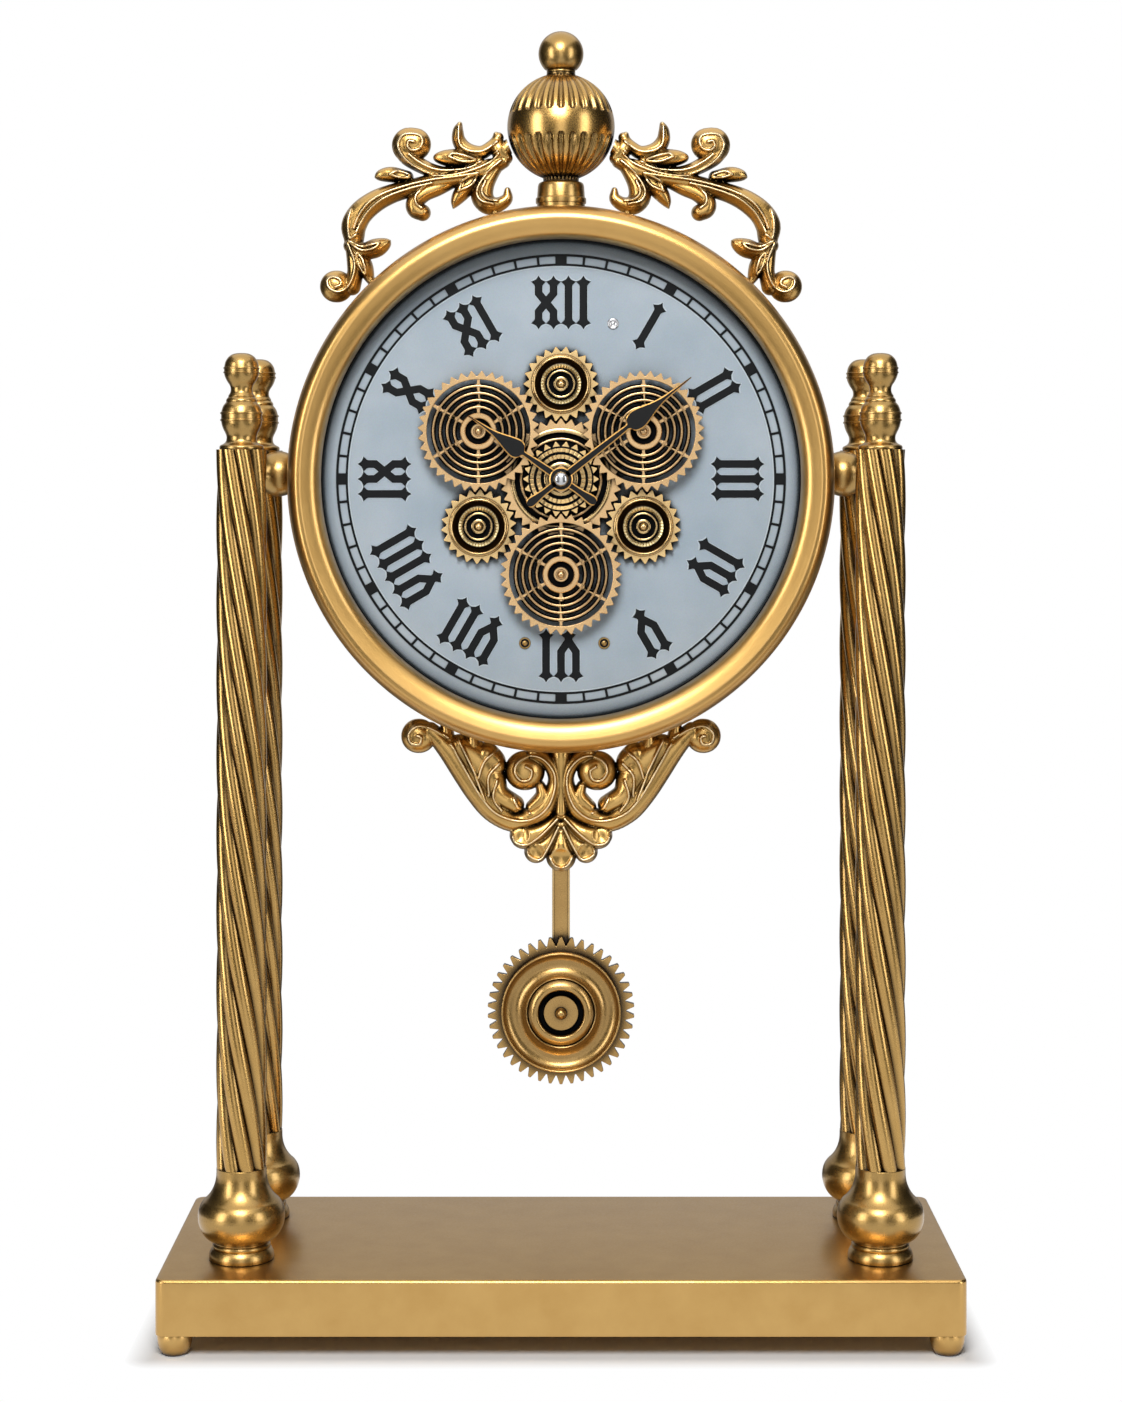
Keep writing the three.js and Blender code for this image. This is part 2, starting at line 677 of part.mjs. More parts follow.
function dialPlate() {
  const radius = caseInner - FIT;
  const plate = turnedAboutY(rodProfile(radius, dialFront, dialBack), drumRounds);
  const [before, behind] = [dialFront - 1, dialBack + 1];
  const bushingHole = turnedAboutY(rodProfile(holeFor(BUSHING_RADIUS, 8), before, behind), 8);
  const posts = [];
  for (const [name, degrees] of Object.entries(wheelPlaces)) {
    const post = name.startsWith("cup") ? wheelPost(rearLayer, FIT) : wheelPost(frontLayer, FIT);
    if (name !== "grille_wheel_right") posts.push(post.translate(wheelCentre(degrees)));
  }
  const arborHole = turnedAboutY(rodProfile(holeFor(POST_RADIUS, 6), before, behind), 6);
  return fuse([plate, ...posts])
    .subtract(bushingHole)
    .subtract(arborHole.translate(wheelCentre(wheelPlaces.grille_wheel_right)));
}

addPiece(drum, "dial_plate", dialPlate(), dialPaint);
addPiece(drum, "centre_wheel", centreWheel(), bronze);
for (const [name, degrees] of Object.entries(wheelPlaces)) {
  const isCup = name.startsWith("cup");
  const [centreTeeth, teeth] = isCup ? [LARGE_TEETH, SMALL_TEETH] : [SMALL_TEETH, LARGE_TEETH];
  const phase = meshPhase(degrees, centreTeeth, teeth);
  let wheel = isCup ? cupWheel(phase) : grilleWheel(phase);
  if (name === "grille_wheel_right") wheel = wheel.add(driveArbor());
  addPiece(drum, name, wheel, isCup ? lacquer : bronze).position.set(...wheelCentre(degrees));
}

// Movement: a black box behind the dial with a threaded bushing through it, a cell and a setting knob
const cellRoom = CELL_RADIUS + FIT;
const cellY = movementBack - CELL_RADIUS - 1;
const movementTop = MOVEMENT_WIDTH / 2;
const movementCellZ = movementTop - cellRoom - 3;
const knobX = MOVEMENT_WIDTH / 4;
const knobStem = 2;
const knobStemLength = 5;
const pivotPinRadius = 1.5;

function cellTrough(centreX, centreZ) {
  const half = CELL_LENGTH / 2 + FIT;
  return boxBetween(
    [centreX - half, cellY - cellRoom, centreZ - cellRoom],
    [centreX + half, movementBack + 1, centreZ + cellRoom],
  );
}

function movementCase() {
  const half = MOVEMENT_WIDTH / 2;
  const tongue = half * 0.6;
  const tongueBottom = -PIVOT_DROP - 12;
  const outline = new THREE.Shape(vectors([
    [-half, -half],
    [-tongue, -half - 8],
    [-tongue, tongueBottom],
    [tongue, tongueBottom],
    [tongue, -half - 8],
    [half, -half],
    [half, half],
    [-half, half],
  ]));
  const bushing = turnedAboutY(rodProfile(BUSHING_RADIUS, nutFront - FIT, dialBack + 2), turnedRounds);
  const boreRadius = BUSHING_BORE / Math.cos(Math.PI / 8);
  const bore = turnedAboutY(rodProfile(boreRadius, nutFront - 1, dialBack + 7), 8);
  const pin = turnedAboutY(rodProfile(pivotPinRadius, movementBack - 2, rodBack + 2), 6);
  const knobSeat = movementBack - knobStemLength - FIT;
  const knobHole = turnedAboutY(rodProfile(holeFor(knobStem, 6), knobSeat, movementBack + 1), 6);
  return facePlate(outline, dialBack, movementBack)
    .add(bushing)
    .add(pin.translate([0, 0, -PIVOT_DROP]))
    .subtract(bore)
    .subtract(cellTrough(0, movementCellZ))
    .subtract(knobHole.translate([knobX, 0, -knobX]));
}

function cell() {
  const half = CELL_LENGTH / 2;
  const nub = CELL_RADIUS * 0.38;
  const profile = [
    [0, -half],
    [CELL_RADIUS, -half],
    [CELL_RADIUS, half - 1.5],
    [nub, half - 1.5],
    [nub, half],
    [0, half],
  ];
  return turnedAboutX(profile, 8);
}

function setKnob() {
  const back = movementBack + FIT;
  const profile = [
    [0, movementBack - knobStemLength],
    [knobStem, movementBack - knobStemLength],
    [knobStem, back],
    [KNOB_RADIUS, back],
    [KNOB_RADIUS - 0.6, back + KNOB_HEIGHT],
    [0, back + KNOB_HEIGHT],
  ];
  return turnedAboutY(profile, turnedRounds);
}

function bushingNut() {
  const hexagon = turnedAboutY(rodProfile(BUSHING_NUT_RADIUS, nutFront, nutBack), 6);
  const bore = rodProfile(holeFor(BUSHING_RADIUS, turnedRounds), nutFront - 1, nutBack + 1);
  return hexagon.subtract(turnedAboutY(bore, turnedRounds));
}

const [driveShaftX, , driveShaftZ] = wheelCentre(wheelPlaces.grille_wheel_right);
const driveLeft = driveShaftX - DRIVE_MARGIN;
const driveWidth = CELL_LENGTH + 2 * FIT + 6;
const driveBottom = driveShaftZ - DRIVE_DROP;
const driveCellX = driveLeft + driveWidth / 2;
const driveCellZ = driveBottom + DRIVE_HEIGHT - cellRoom - 3;

function driveUnit() {
  const box = boxBetween(
    [driveLeft, dialBack, driveBottom],
    [driveLeft + driveWidth, movementBack, driveBottom + DRIVE_HEIGHT],
  );
  const shaftHole = turnedAboutY(rodProfile(holeFor(POST_RADIUS, 6), dialBack - 1, arborEnd + FIT), 6);
  return box
    .subtract(shaftHole.translate([driveShaftX, 0, driveShaftZ]))
    .subtract(cellTrough(driveCellX, driveCellZ));
}

addPiece(drum, "movement_case", movementCase(), blackPlastic);
addPiece(drum, "movement_cell", cell(), cellWrap).position.set(0, cellY, movementCellZ);
addPiece(drum, "set_knob", setKnob(), blackPlastic).position.set(knobX, 0, -knobX);
addPiece(drum, "bushing_nut", bushingNut(), steel);
addPiece(drum, "drive_unit", driveUnit(), blackPlastic);
addPiece(drum, "drive_cell", cell(), cellWrap).position.set(driveCellX, cellY, driveCellZ);

// Hands: flat spades. The hour hand's pipe turns in the bushing, the minute hand's arbor in the pipe.
function handShape(length, spadeStart, spadeEnd, spadeHalf) {
  const armHalf = 1.6;
  const needleHalf = 0.8;
  const tailHalf = 2.4;
  const pointHalf = 0.35;
  const shoulder = spadeStart + (spadeEnd - spadeStart) * 0.3;
  const shape = new THREE.Shape();
  shape.moveTo(-tailHalf, -HAND_TAIL);
  shape.lineTo(tailHalf, -HAND_TAIL);
  shape.lineTo(armHalf, 0);
  shape.lineTo(armHalf, spadeStart);
  shape.quadraticCurveTo(spadeHalf, spadeStart, spadeHalf, shoulder);
  shape.quadraticCurveTo(spadeHalf * 0.8, (shoulder + spadeEnd) / 2, needleHalf, spadeEnd);
  shape.lineTo(pointHalf, length);
  shape.lineTo(-pointHalf, length);
  shape.lineTo(-needleHalf, spadeEnd);
  shape.quadraticCurveTo(-spadeHalf * 0.8, (shoulder + spadeEnd) / 2, -spadeHalf, shoulder);
  shape.quadraticCurveTo(-spadeHalf, spadeStart, -armHalf, spadeStart);
  shape.lineTo(-armHalf, 0);
  return shape;
}

const hourBack = nutFront - FIT - FIT;
const hourFront = hourBack - HAND_THICKNESS;
const minuteBack = hourFront - HAND_GAP;
const minuteFront = minuteBack - HAND_THICKNESS;
const handBoss = 5.8;

function hourHand() {
  const shape = handShape(HOUR_LENGTH, HOUR_LENGTH * 0.42, HOUR_LENGTH * 0.78, 4.9);
  const boss = turnedAboutY(rodProfile(handBoss, hourFront, hourBack), turnedRounds);
  const pipe = turnedAboutY(rodProfile(PIPE_RADIUS, hourFront, dialBack + 4), 8);
  const bore = turnedAboutY(rodProfile(holeFor(ARBOR_RADIUS, 8), hourFront - 1, dialBack + 5), 8);
  return facePlate(shape, hourFront, hourBack, 2).add(boss).add(pipe).subtract(bore);
}

function minuteHand() {
  const shape = handShape(MINUTE_LENGTH, MINUTE_LENGTH * 0.52, MINUTE_LENGTH * 0.78, 5.2);
  const boss = turnedAboutY(rodProfile(handBoss, minuteFront, minuteBack), turnedRounds);
  const tip = minuteFront - HAND_NUT_HEIGHT / 2;
  const arbor = turnedAboutY(rodProfile(ARBOR_RADIUS, tip, dialBack + 6), 8);
  return facePlate(shape, minuteFront, minuteBack, 2).add(boss).add(arbor);
}

function handNut() {
  const bore = holeFor(ARBOR_RADIUS, turnedRounds);
  const back = minuteFront - FIT;
  const seat = minuteFront - HAND_NUT_HEIGHT / 2 - FIT;
  const profile = [
    [0, seat],
    [bore, seat],
    [bore, back],
    [HAND_NUT_RADIUS, back],
    [HAND_NUT_RADIUS, back - HAND_NUT_HEIGHT * 0.35],
    [HAND_NUT_RADIUS * 0.7, back - HAND_NUT_HEIGHT * 0.85],
    [0, back - HAND_NUT_HEIGHT],
  ];
  return turnedAboutY(profile, turnedRounds);
}

addPiece(drum, "hour_hand", hourHand(), blackPaint).rotation.y = HOUR_ANGLE;
addPiece(drum, "minute_hand", minuteHand(), blackPaint).rotation.y = MINUTE_ANGLE;
addPiece(drum, "hand_nut", handNut(), steel);

// Pendulum: a strip hung on the movement's pin, with a toothed bob in front of its lower end
const pendulum = new THREE.Group();
pendulum.position.z = -PIVOT_DROP;
drum.add(pendulum);
const bobBack = rodFront - FIT;
const bobFront = bobBack - BOB_THICKNESS;
const bobRounds = 16;

function pendulumRod() {
  const half = ROD_WIDTH / 2;
  const shape = new THREE.Shape();
  shape.absarc(0, 0, half, 0, Math.PI);
  shape.lineTo(-half, -PENDULUM_LENGTH - half);
  shape.lineTo(half, -PENDULUM_LENGTH - half);
  shape.holes.push(circlePath(holeFor(pivotPinRadius, 6)));
  return facePlate(shape, rodFront, rodBack, 3);
}

function bobGear() {
  const shape = toothedShape(BOB_TEETH, BOB_RADIUS, BOB_TOOTH_DEPTH, Math.PI / 2);
  return facePlate(shape, bobFront, bobBack);
}

// Rolled ring around a raised collar, open in the middle for the cap
function bobDish() {
  const back = bobFront - FIT;
  const crest = back - DISH_RISE;
  const collar = DISH_RADIUS * 0.58;
  const capRoom = holeFor(CAP_RADIUS, bobRounds);
  const profile = [
    [capRoom, back],
    [DISH_RADIUS, back],
    [DISH_RADIUS * 0.93, back - DISH_RISE * 0.7],
    [DISH_RADIUS * 0.76, crest],
    [collar, back - DISH_RISE * 0.55],
    [collar * 0.94, crest],
    [collar * 0.7, crest],
    [capRoom, back - DISH_RISE * 0.5],
    [capRoom, back],
  ];
  return turnedAboutY(profile, bobRounds);
}

function bobCap() {
  const back = bobFront - FIT;
  const crest = back - DISH_RISE;
  const profile = [
    [0, back],
    [CAP_RADIUS, back],
    [CAP_RADIUS, crest + 2.5],
    [CAP_RADIUS - 1.5, crest + 1],
    [CAP_RADIUS * 0.4, crest + 0.5],
    [CAP_RADIUS * 0.3, crest - 1],
    [0, crest - 1.6],
  ];
  return turnedAboutY(profile, turnedRounds);
}

addPiece(pendulum, "pendulum_rod", pendulumRod(), lacquer);
addPiece(pendulum, "bob_gear", bobGear(), bronze).position.z = -PENDULUM_LENGTH;
addPiece(pendulum, "bob_dish", bobDish(), lacquer).position.z = -PENDULUM_LENGTH;
addPiece(pendulum, "bob_cap", bobCap(), lacquer).position.z = -PENDULUM_LENGTH;

// Top ornament: collar, fluted globe and ball knob on one stud through the top of the case
const collarTop = CASE_RADIUS + COLLAR_HEIGHT;
const globeZ = collarTop + GLOBE_RADIUS + FIT;
const knobNeck = KNOB_BALL_RADIUS * 0.62;
const knobZ = globeZ + GLOBE_RADIUS + KNOB_BALL_RADIUS * 0.85 + FIT;
const studBore = holeFor(STUD_RADIUS, turnedRounds);
const caseClearance = turnedAboutY(rodProfile(CASE_RADIUS + FIT, CASE_FRONT, caseBack), drumRounds);

function finialCollar() {
  const bottom = CASE_RADIUS - 1;
  const profile = [
    [studBore, bottom],
    [COLLAR_RADIUS * 0.95, bottom],
    [COLLAR_RADIUS, CASE_RADIUS + COLLAR_HEIGHT * 0.42],
    [COLLAR_RADIUS, CASE_RADIUS + COLLAR_HEIGHT * 0.56],
    [COLLAR_RADIUS * 0.92, collarTop - COLLAR_HEIGHT * 0.13],
    [COLLAR_RADIUS * 0.76, collarTop],
    [studBore, collarTop],
    [studBore, bottom],
  ];
  return turnedAboutZ(profile, turnedRounds).subtract(caseClearance);
}

// Flutes above and below a plain belt
function finialGlobe() {
  const seat = COLLAR_RADIUS * 0.7;
  const polar = THREE.MathUtils.radToDeg(Math.acos(seat / GLOBE_RADIUS));
  const profile = [
    [0, -GLOBE_RADIUS],
    [seat, -GLOBE_RADIUS],
    ...arcPoints(0, 0, GLOBE_RADIUS, -polar, polar, 5),
    [knobNeck, GLOBE_RADIUS],
    [0, GLOBE_RADIUS],
  ];
  const geometry = new THREE.LatheGeometry(vectors(profile), 2 * GLOBE_FLUTES);
  const position = geometry.getAttribute("position");
  const belt = GLOBE_RADIUS * 0.25;
  for (let i = 0; i < position.count; i += 1) {
    const [x, y, z] = [position.getX(i), position.getY(i), position.getZ(i)];
    const radius = Math.hypot(x, z);
    const valley = Math.round((Math.atan2(x, z) * GLOBE_FLUTES) / Math.PI) % 2 !== 0;
    const fluted = valley && Math.abs(y) > belt && radius > seat;
    const share = fluted ? 1 - FLUTE_DEPTH / radius : 1;
    position.setXYZ(i, x * share, y, z * share);
  }
  const bore = turnedAboutZ(rodProfile(holeFor(STUD_RADIUS, 6), -2 * GLOBE_RADIUS, 2 * GLOBE_RADIUS), 6);
  return toSolid(geometry.rotateX(Math.PI / 2)).subtract(bore);
}

function finialKnob() {
  const bottom = globeZ + GLOBE_RADIUS + FIT;
  const profile = [
    [0, knobZ + FIT],
    [studBore, knobZ + FIT],
    [studBore, bottom],
    [knobNeck, bottom],
    ...arcPoints(0, knobZ, KNOB_BALL_RADIUS, -46, 90, 5),
  ];
  return turnedAboutZ(profile, turnedRounds);
}

function finialStud() {
  const nutTop = Math.sqrt((caseInner * flatShare) ** 2 - (2 * STUD_RADIUS) ** 2) - FIT;
  const profile = [
    [0, nutTop - BOLT_HEAD_HEIGHT],
    [2 * STUD_RADIUS, nutTop - BOLT_HEAD_HEIGHT],
    [2 * STUD_RADIUS, nutTop],
    [STUD_RADIUS, nutTop],
    [STUD_RADIUS, knobZ],
    [0, knobZ],
  ];
  return turnedAboutZ(profile, 6);
}

addPiece(drum, "finial_collar", finialCollar(), lacquer);
addPiece(drum, "finial_globe", finialGlobe(), lacquer).position.z = globeZ;
addPiece(drum, "finial_knob", finialKnob(), lacquer);
addPiece(drum, "finial_stud", finialStud(), steel);

// Scroll ornament. A route point is [distance along the rim from the middle, distance out from the case],
// counted in scroll units, as the half-widths are.
function rimPoint([along, out], side) {
  const angle = (along * SCROLL_UNIT) / CASE_RADIUS;
  const radius = CASE_RADIUS + out * SCROLL_UNIT;
  return new THREE.Vector2(side * radius * Math.sin(angle), radius * Math.cos(angle));
}

// Carries a route on into a spiral that closes on its centre
function curl(route, centre, turns, steps) {
  const start = route[route.length - 1].clone().sub(centre);
  const before = route[route.length - 2].clone().sub(centre);
  const sense = Math.sign(before.cross(start));
  const points = [];
  for (let i = 1; i <= steps; i += 1) {
    const share = i / steps;
    const arm = start.clone().multiplyScalar(1 - 0.72 * share);
    points.push(arm.rotateAround(new THREE.Vector2(), sense * 2 * Math.PI * turns * share).add(centre));
  }
  return [...route, ...points];
}

// A limb of a casting: flat back and sloped shoulders, with half-widths spread evenly along it
const stemSection = [[-1, 0], [-0.6, 1], [0.6, 1], [1, 0]];
const leafSection = [[-1, 0], [0, 1], [1, 0]];

function limb(route, halfWidths, steps, section = stemSection) {
  const curve = new THREE.SplineCurve(route);
  const widest = Math.max(...halfWidths);
  const positions = [];
  for (let i = 0; i <= steps; i += 1) {
    const centre = curve.getPoint(i / steps);
    const along = curve.getTangent(i / steps);
    const spread = (i / steps) * (halfWidths.length - 1);
    const index = Math.min(Math.floor(spread), halfWidths.length - 2);
    const half = THREE.MathUtils.lerp(halfWidths[index], halfWidths[index + 1], spread - index);
    const depth = ORNAMENT_DEPTH * (0.45 + (0.55 * half) / widest);
    for (const [across, rise] of section) {
      const aside = half * SCROLL_UNIT * across;
      const front = ORNAMENT_BACK - depth * rise;
      positions.push(centre.x - along.y * aside, front, centre.y + along.x * aside);
    }
  }
  const sides = section.length;
  const index = [];
  for (let i = 0; i < steps; i += 1) {
    for (let j = 0; j < sides; j += 1) {
      const [a, b] = [i * sides + j, i * sides + ((j + 1) % sides)];
      index.push(a, b, b + sides, a, b + sides, a + sides);
    }
  }
  const last = steps * sides;
  for (let j = 1; j < sides - 1; j += 1) {
    index.push(0, j + 1, j, last, last + j, last + j + 1);
  }
  const geometry = new THREE.BufferGeometry();
  geometry.setAttribute("position", new THREE.BufferAttribute(new Float32Array(positions), 3));
  geometry.setIndex(index);
  return toSolid(geometry);
}

function leaf(route, halfWidth) {
  return limb(route, [halfWidth * 0.55, halfWidth, halfWidth * 0.8, 0.5], 3, leafSection);
}

function crestScroll(side) {
  const at = (points) => points.map((point) => rimPoint(point, side));
  const stem = at([
    [24, 32], [36.7, 29.4], [52, 33.4], [68, 37.6], [82.3, 38.4],
    [92.4, 32], [97, 26.5], [102.6, 17.9], [108, 12.6],
  ]);
  const stemHalves = [2.6, 3, 4, 4.8, 6, 5.6, 3.4, 3.4, 3.2, 2.6, 1.6];
  const upper = at([[47, 31.9], [54, 38], [59, 46], [60.6, 53]]);
  const horn = at([[24.4, 46.5], [28.9, 39.5], [33.8, 39.1], [37.7, 43.5], [38.4, 49.8], [36.6, 55.5]]);
  const hook = at([[43.2, 27.9], [52, 28.6], [60, 28.6], [65, 23], [61, 18.3]]);
  const foot = at([[24, 31.4], [31, 25.3], [35.9, 18.1], [34.9, 12.8], [30.5, 9.6], [25, 13]]);
  const limbs = [
    limb(curl(stem, rimPoint([112.7, 18.5], side), 1, 6), stemHalves, 14),
    limb(curl(upper, rimPoint([55.5, 53.1], side), 1.1, 6), [2.4, 3.2, 3.6, 3, 1.8], 9),
    limb(horn, [1, 2.2, 2.6, 3.2, 1.2], 5),
    limb(hook, [2.2, 3.2, 3.4, 2.6], 4),
    limb(foot, [2.6, 3.2, 3.4, 3.2, 2.2], 5),
    limb(at([[34, 11], [34, -3]]), [2.8, 2.8], 1),
    limb(at([[33, 31], [34.5, 40]]), [2.4, 2.4], 1),
    limb(at([[28, 30], [23, 37.5]]), [3.2, 3.2], 1),
    leaf(at([[59, 36], [65, 43.5], [72.3, 47.7]]), 3.4),
    leaf(at([[33.2, 33.2], [41, 38.5], [49.3, 42.6]]), 3.6),
    leaf(at([[33.7, 28.1], [42.5, 22.8], [49.8, 15.6]]), 3.6),
    leaf(at([[95.2, 29], [91, 19], [81.6, 17.6]]), 4.2),
    leaf(at([[96.8, 23], [97.5, 16.9], [98.6, 11], [99.5, -3]]), 3.4),
  ];
  const globeRoom = new THREE.SphereGeometry(GLOBE_RADIUS + 3 * FIT, 12, 8);
  return fuse(limbs).subtract(caseClearance).subtract(toSolid(globeRoom.translate(0, 0, globeZ)));
}

addPiece(drum, "crest_scroll_left", crestScroll(-1), lacquer);
addPiece(drum, "crest_scroll_right", crestScroll(1), lacquer);

// Bracket under the drum: two S scrolls with leaves, a middle stem and a shell of drooping lobes
function lowerBracket() {
  const outerHalves = [3.6, 3.4, 3.4, 3.4, 2.6, 1.6];
  const innerHalves = [3.6, 3.2, 3, 3.2, 2.8, 1.8];
  const limbs = [];
  for (const side of [-1, 1]) {
    const at = (points) => points.map((point) => rimPoint(point, side));
    const outer = at([[15.6, 43.9], [22.8, 42], [30.5, 35.9], [39.3, 26.6], [48.4, 18.9], [61, 10.5]]);
    const inner = at([[15.6, 43.9], [8.9, 40.4], [4.6, 32.5], [3, 23.9], [4.5, 15.3], [9.4, 9.6]]);
    limbs.push(limb(curl(outer, rimPoint([65.1, 16.8], side), 0.9, 5), outerHalves, 8));
    limbs.push(limb(curl(inner, rimPoint([14.6, 17.2], side), 1.1, 6), innerHalves, 9));
    limbs.push(leaf(at([[46, 22], [51, 12], [55, -3]]), 3.4));
    limbs.push(leaf(at([[38, 29], [40.5, 16], [41, -3]]), 4.2));
    limbs.push(leaf(at([[30, 36], [31.6, 18], [28.5, 3]]), 4.2));
    limbs.push(leaf(at([[22, 41], [25, 28.3], [23.4, 20]]), 3.6));
    limbs.push(limb(at([[0.6, 40.5], [9, 49.5], [18.6, 50]]), [2, 4, 5.6, 3], 3));
    limbs.push(limb(at([[0.2, 42.7], [5, 54], [11, 60.5]]), [2, 3.6, 5, 2.6], 3));
  }
  const middle = (points) => points.map((point) => rimPoint(point, 1));
  limbs.push(limb(middle([[0, -3], [0, 46]]), [4, 2.6, 3.4], 2));
  limbs.push(limb(middle([[0, 42.7], [0, 56], [0, 69.4]]), [2.4, 5, 8, 3.4], 3));
  return fuse(limbs).subtract(caseClearance).rotate([0, 180, 0]);
}

addPiece(drum, "lower_bracket", lowerBracket(), lacquer);

export default clock;
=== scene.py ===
"""Table clock: a drum between four twisted columns on a box base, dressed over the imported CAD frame.

Pieces are written in millimetres in the frame of the CAD model (+Z up, front towards -Y).
"""
import math

import bmesh
import bpy
import numpy as np
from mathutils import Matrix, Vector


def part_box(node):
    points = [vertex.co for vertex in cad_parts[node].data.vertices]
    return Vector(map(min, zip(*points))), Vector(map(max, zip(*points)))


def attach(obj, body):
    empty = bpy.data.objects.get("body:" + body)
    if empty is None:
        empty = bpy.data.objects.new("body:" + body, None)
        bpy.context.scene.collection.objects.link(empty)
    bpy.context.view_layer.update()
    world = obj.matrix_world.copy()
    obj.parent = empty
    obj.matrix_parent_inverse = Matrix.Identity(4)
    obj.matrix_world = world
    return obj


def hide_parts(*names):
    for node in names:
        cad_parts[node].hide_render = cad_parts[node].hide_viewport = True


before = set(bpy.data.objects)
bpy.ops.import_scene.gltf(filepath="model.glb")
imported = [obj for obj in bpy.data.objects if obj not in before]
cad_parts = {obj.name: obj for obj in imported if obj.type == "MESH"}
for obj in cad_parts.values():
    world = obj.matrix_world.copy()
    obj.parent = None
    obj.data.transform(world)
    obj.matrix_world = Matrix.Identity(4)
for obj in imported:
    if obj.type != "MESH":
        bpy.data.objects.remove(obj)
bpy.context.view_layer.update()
MM = 0.001


# Base tray: a folded steel box with soft edges, open below, in satin gold lacquer.
# Rounded rectangles are stacked down inside the walls, then up outside and over the top edge.
def linear(code):
    """A hex colour as linear red, green, blue and alpha."""
    channels = [int(code[i : i + 2], 16) / 255 for i in (1, 3, 5)]
    return tuple(c / 12.92 if c <= 0.04045 else ((c + 0.055) / 1.055) ** 2.4 for c in channels) + (1.0,)


def plug(finish, node, settings):
    """Sets a node's sockets, by name or number, to values or to outputs of other nodes."""
    for name, value in settings.items():
        if isinstance(value, bpy.types.NodeSocket):
            finish.node_tree.links.new(value, node.inputs[name])
        else:
            node.inputs[name].default_value = value


def add_node(finish, kind, settings=None, output=0, **properties):
    """Adds a shader node and returns one of its outputs."""
    node = finish.node_tree.nodes.new("ShaderNode" + kind)
    for name, value in properties.items():
        setattr(node, name, value)
    plug(finish, node, settings or {})
    return node.outputs[output]


def noise(finish, place, size, detail):
    """Noise whose largest features have a size in mm."""
    return add_node(finish, "TexNoise", {"Vector": place, "Scale": 1 / (size * MM), "Detail": detail})


def mix(finish, share, *colours, **properties):
    """A blend of two colours, each a hex code, a linear colour or an output."""
    first, second = (linear(c) if isinstance(c, str) else c for c in colours)
    return add_node(finish, "Mix", {0: share, 6: first, 7: second}, 2, data_type="RGBA", **properties)


def remap(finish, value, low, high, new_low=0.0, new_high=1.0):
    """A value moved from one range to another and held inside it."""
    return add_node(finish, "MapRange", {0: value, 1: low, 2: high, 3: new_low, 4: new_high})


def new_finish(name):
    """A node material and its shader."""
    finish = bpy.data.materials.new(name)
    finish.use_nodes = True
    return finish, finish.node_tree.nodes["Principled BSDF"]


def lacquer(name, colour, thin, shade, roughness, grain=0.5, bump=0.08,
            creases=(0.2, 0.75), rubbed_highlight=None):
    """Metal under clear lacquer: clouded tone, painted shade darkening the creases, fine orange-peel grain in
    mm.

    The last argument is the colour painted on thin ridges, as bare rubbed metal and as a painted highlight.
    """
    cloud_size, crease_reach, peel_height = 14, 5, 0.2
    finish, shader = new_finish(name)
    place = add_node(finish, "TexCoord", output="Object")
    sand = noise(finish, place, grain, 2.0)
    open_sky = add_node(finish, "AmbientOcclusion", {"Distance": crease_reach * MM}, "AO", samples=6)
    toned = mix(finish, noise(finish, place, cloud_size, 4.0), thin, colour)
    # Painted shade: the shade colour is mixed in where the ambient occlusion finds creases
    shaded_tone = mix(finish, remap(finish, open_sky, *creases), shade, toned)
    if rubbed_highlight:
        # Painted highlight: convex ridges are lightened towards the pale colour
        bend = add_node(finish, "NewGeometry", output="Pointiness")
        shaded_tone = mix(finish, remap(finish, bend, 0.52, 0.6), shaded_tone, rubbed_highlight)
    peel = {"Height": sand, "Strength": bump, "Distance": peel_height * MM}
    plug(finish, shader, {
        "Base Color": shaded_tone,
        "Roughness": remap(finish, sand, 0.3, 0.7, roughness - 0.04, roughness + 0.06),
        "Normal": add_node(finish, "Bump", peel),
        "Metallic": 1.0,
        "Coat Weight": 0.3,
        "Coat Roughness": 0.15,
    })
    return finish


# Satin gold reads warm and soft; its folds get a painted brown shade
satin_gold = lacquer("satin_gold_lacquer", "#d0a967", "#bd9453", "#3a240a", 0.33, grain=0.9, bump=0.12)


def soft_edges(piece, width):
    """Breaks the sharp edges of a piece by a width in mm."""
    edge = piece.modifiers.new("soft_edges", "BEVEL")
    edge.width = width * MM
    edge.segments = 2
    edge.limit_method = "ANGLE"
    edge.angle_limit = math.radians(35)


def make_piece(name, shape, finish, node=None, sharp=40, bevel=0.0, second=None, paint=None,
               body="stand", slot=None):
    """One closed mesh from points in mm and faces, in place of a CAD node if one is named.

    Second is the finish of the faces that paint picks by their middle in mm and their normal.
    """
    points, faces = shape
    mesh = bpy.data.meshes.new(name)
    mesh.from_pydata([[value * MM for value in point] for point in points], [], faces)
    shell = bmesh.new()
    shell.from_mesh(mesh)
    bmesh.ops.remove_doubles(shell, verts=shell.verts, dist=0.0005 * MM)
    bmesh.ops.recalc_face_normals(shell, faces=shell.faces)
    shell.to_mesh(mesh)
    shell.free()
    mesh.shade_smooth()
    mesh.set_sharp_from_angle(angle=math.radians(sharp))
    mesh.materials.append(finish)
    if second:
        mesh.materials.append(second)
        for face in mesh.polygons:
            face.material_index = int(paint(face.center / MM, face.normal))
    piece = bpy.data.objects.new(name, mesh)
    bpy.context.scene.collection.objects.link(piece)
    if bevel:
        soft_edges(piece, bevel)
    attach(piece, body)
    if node:
        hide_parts(node)
    return piece


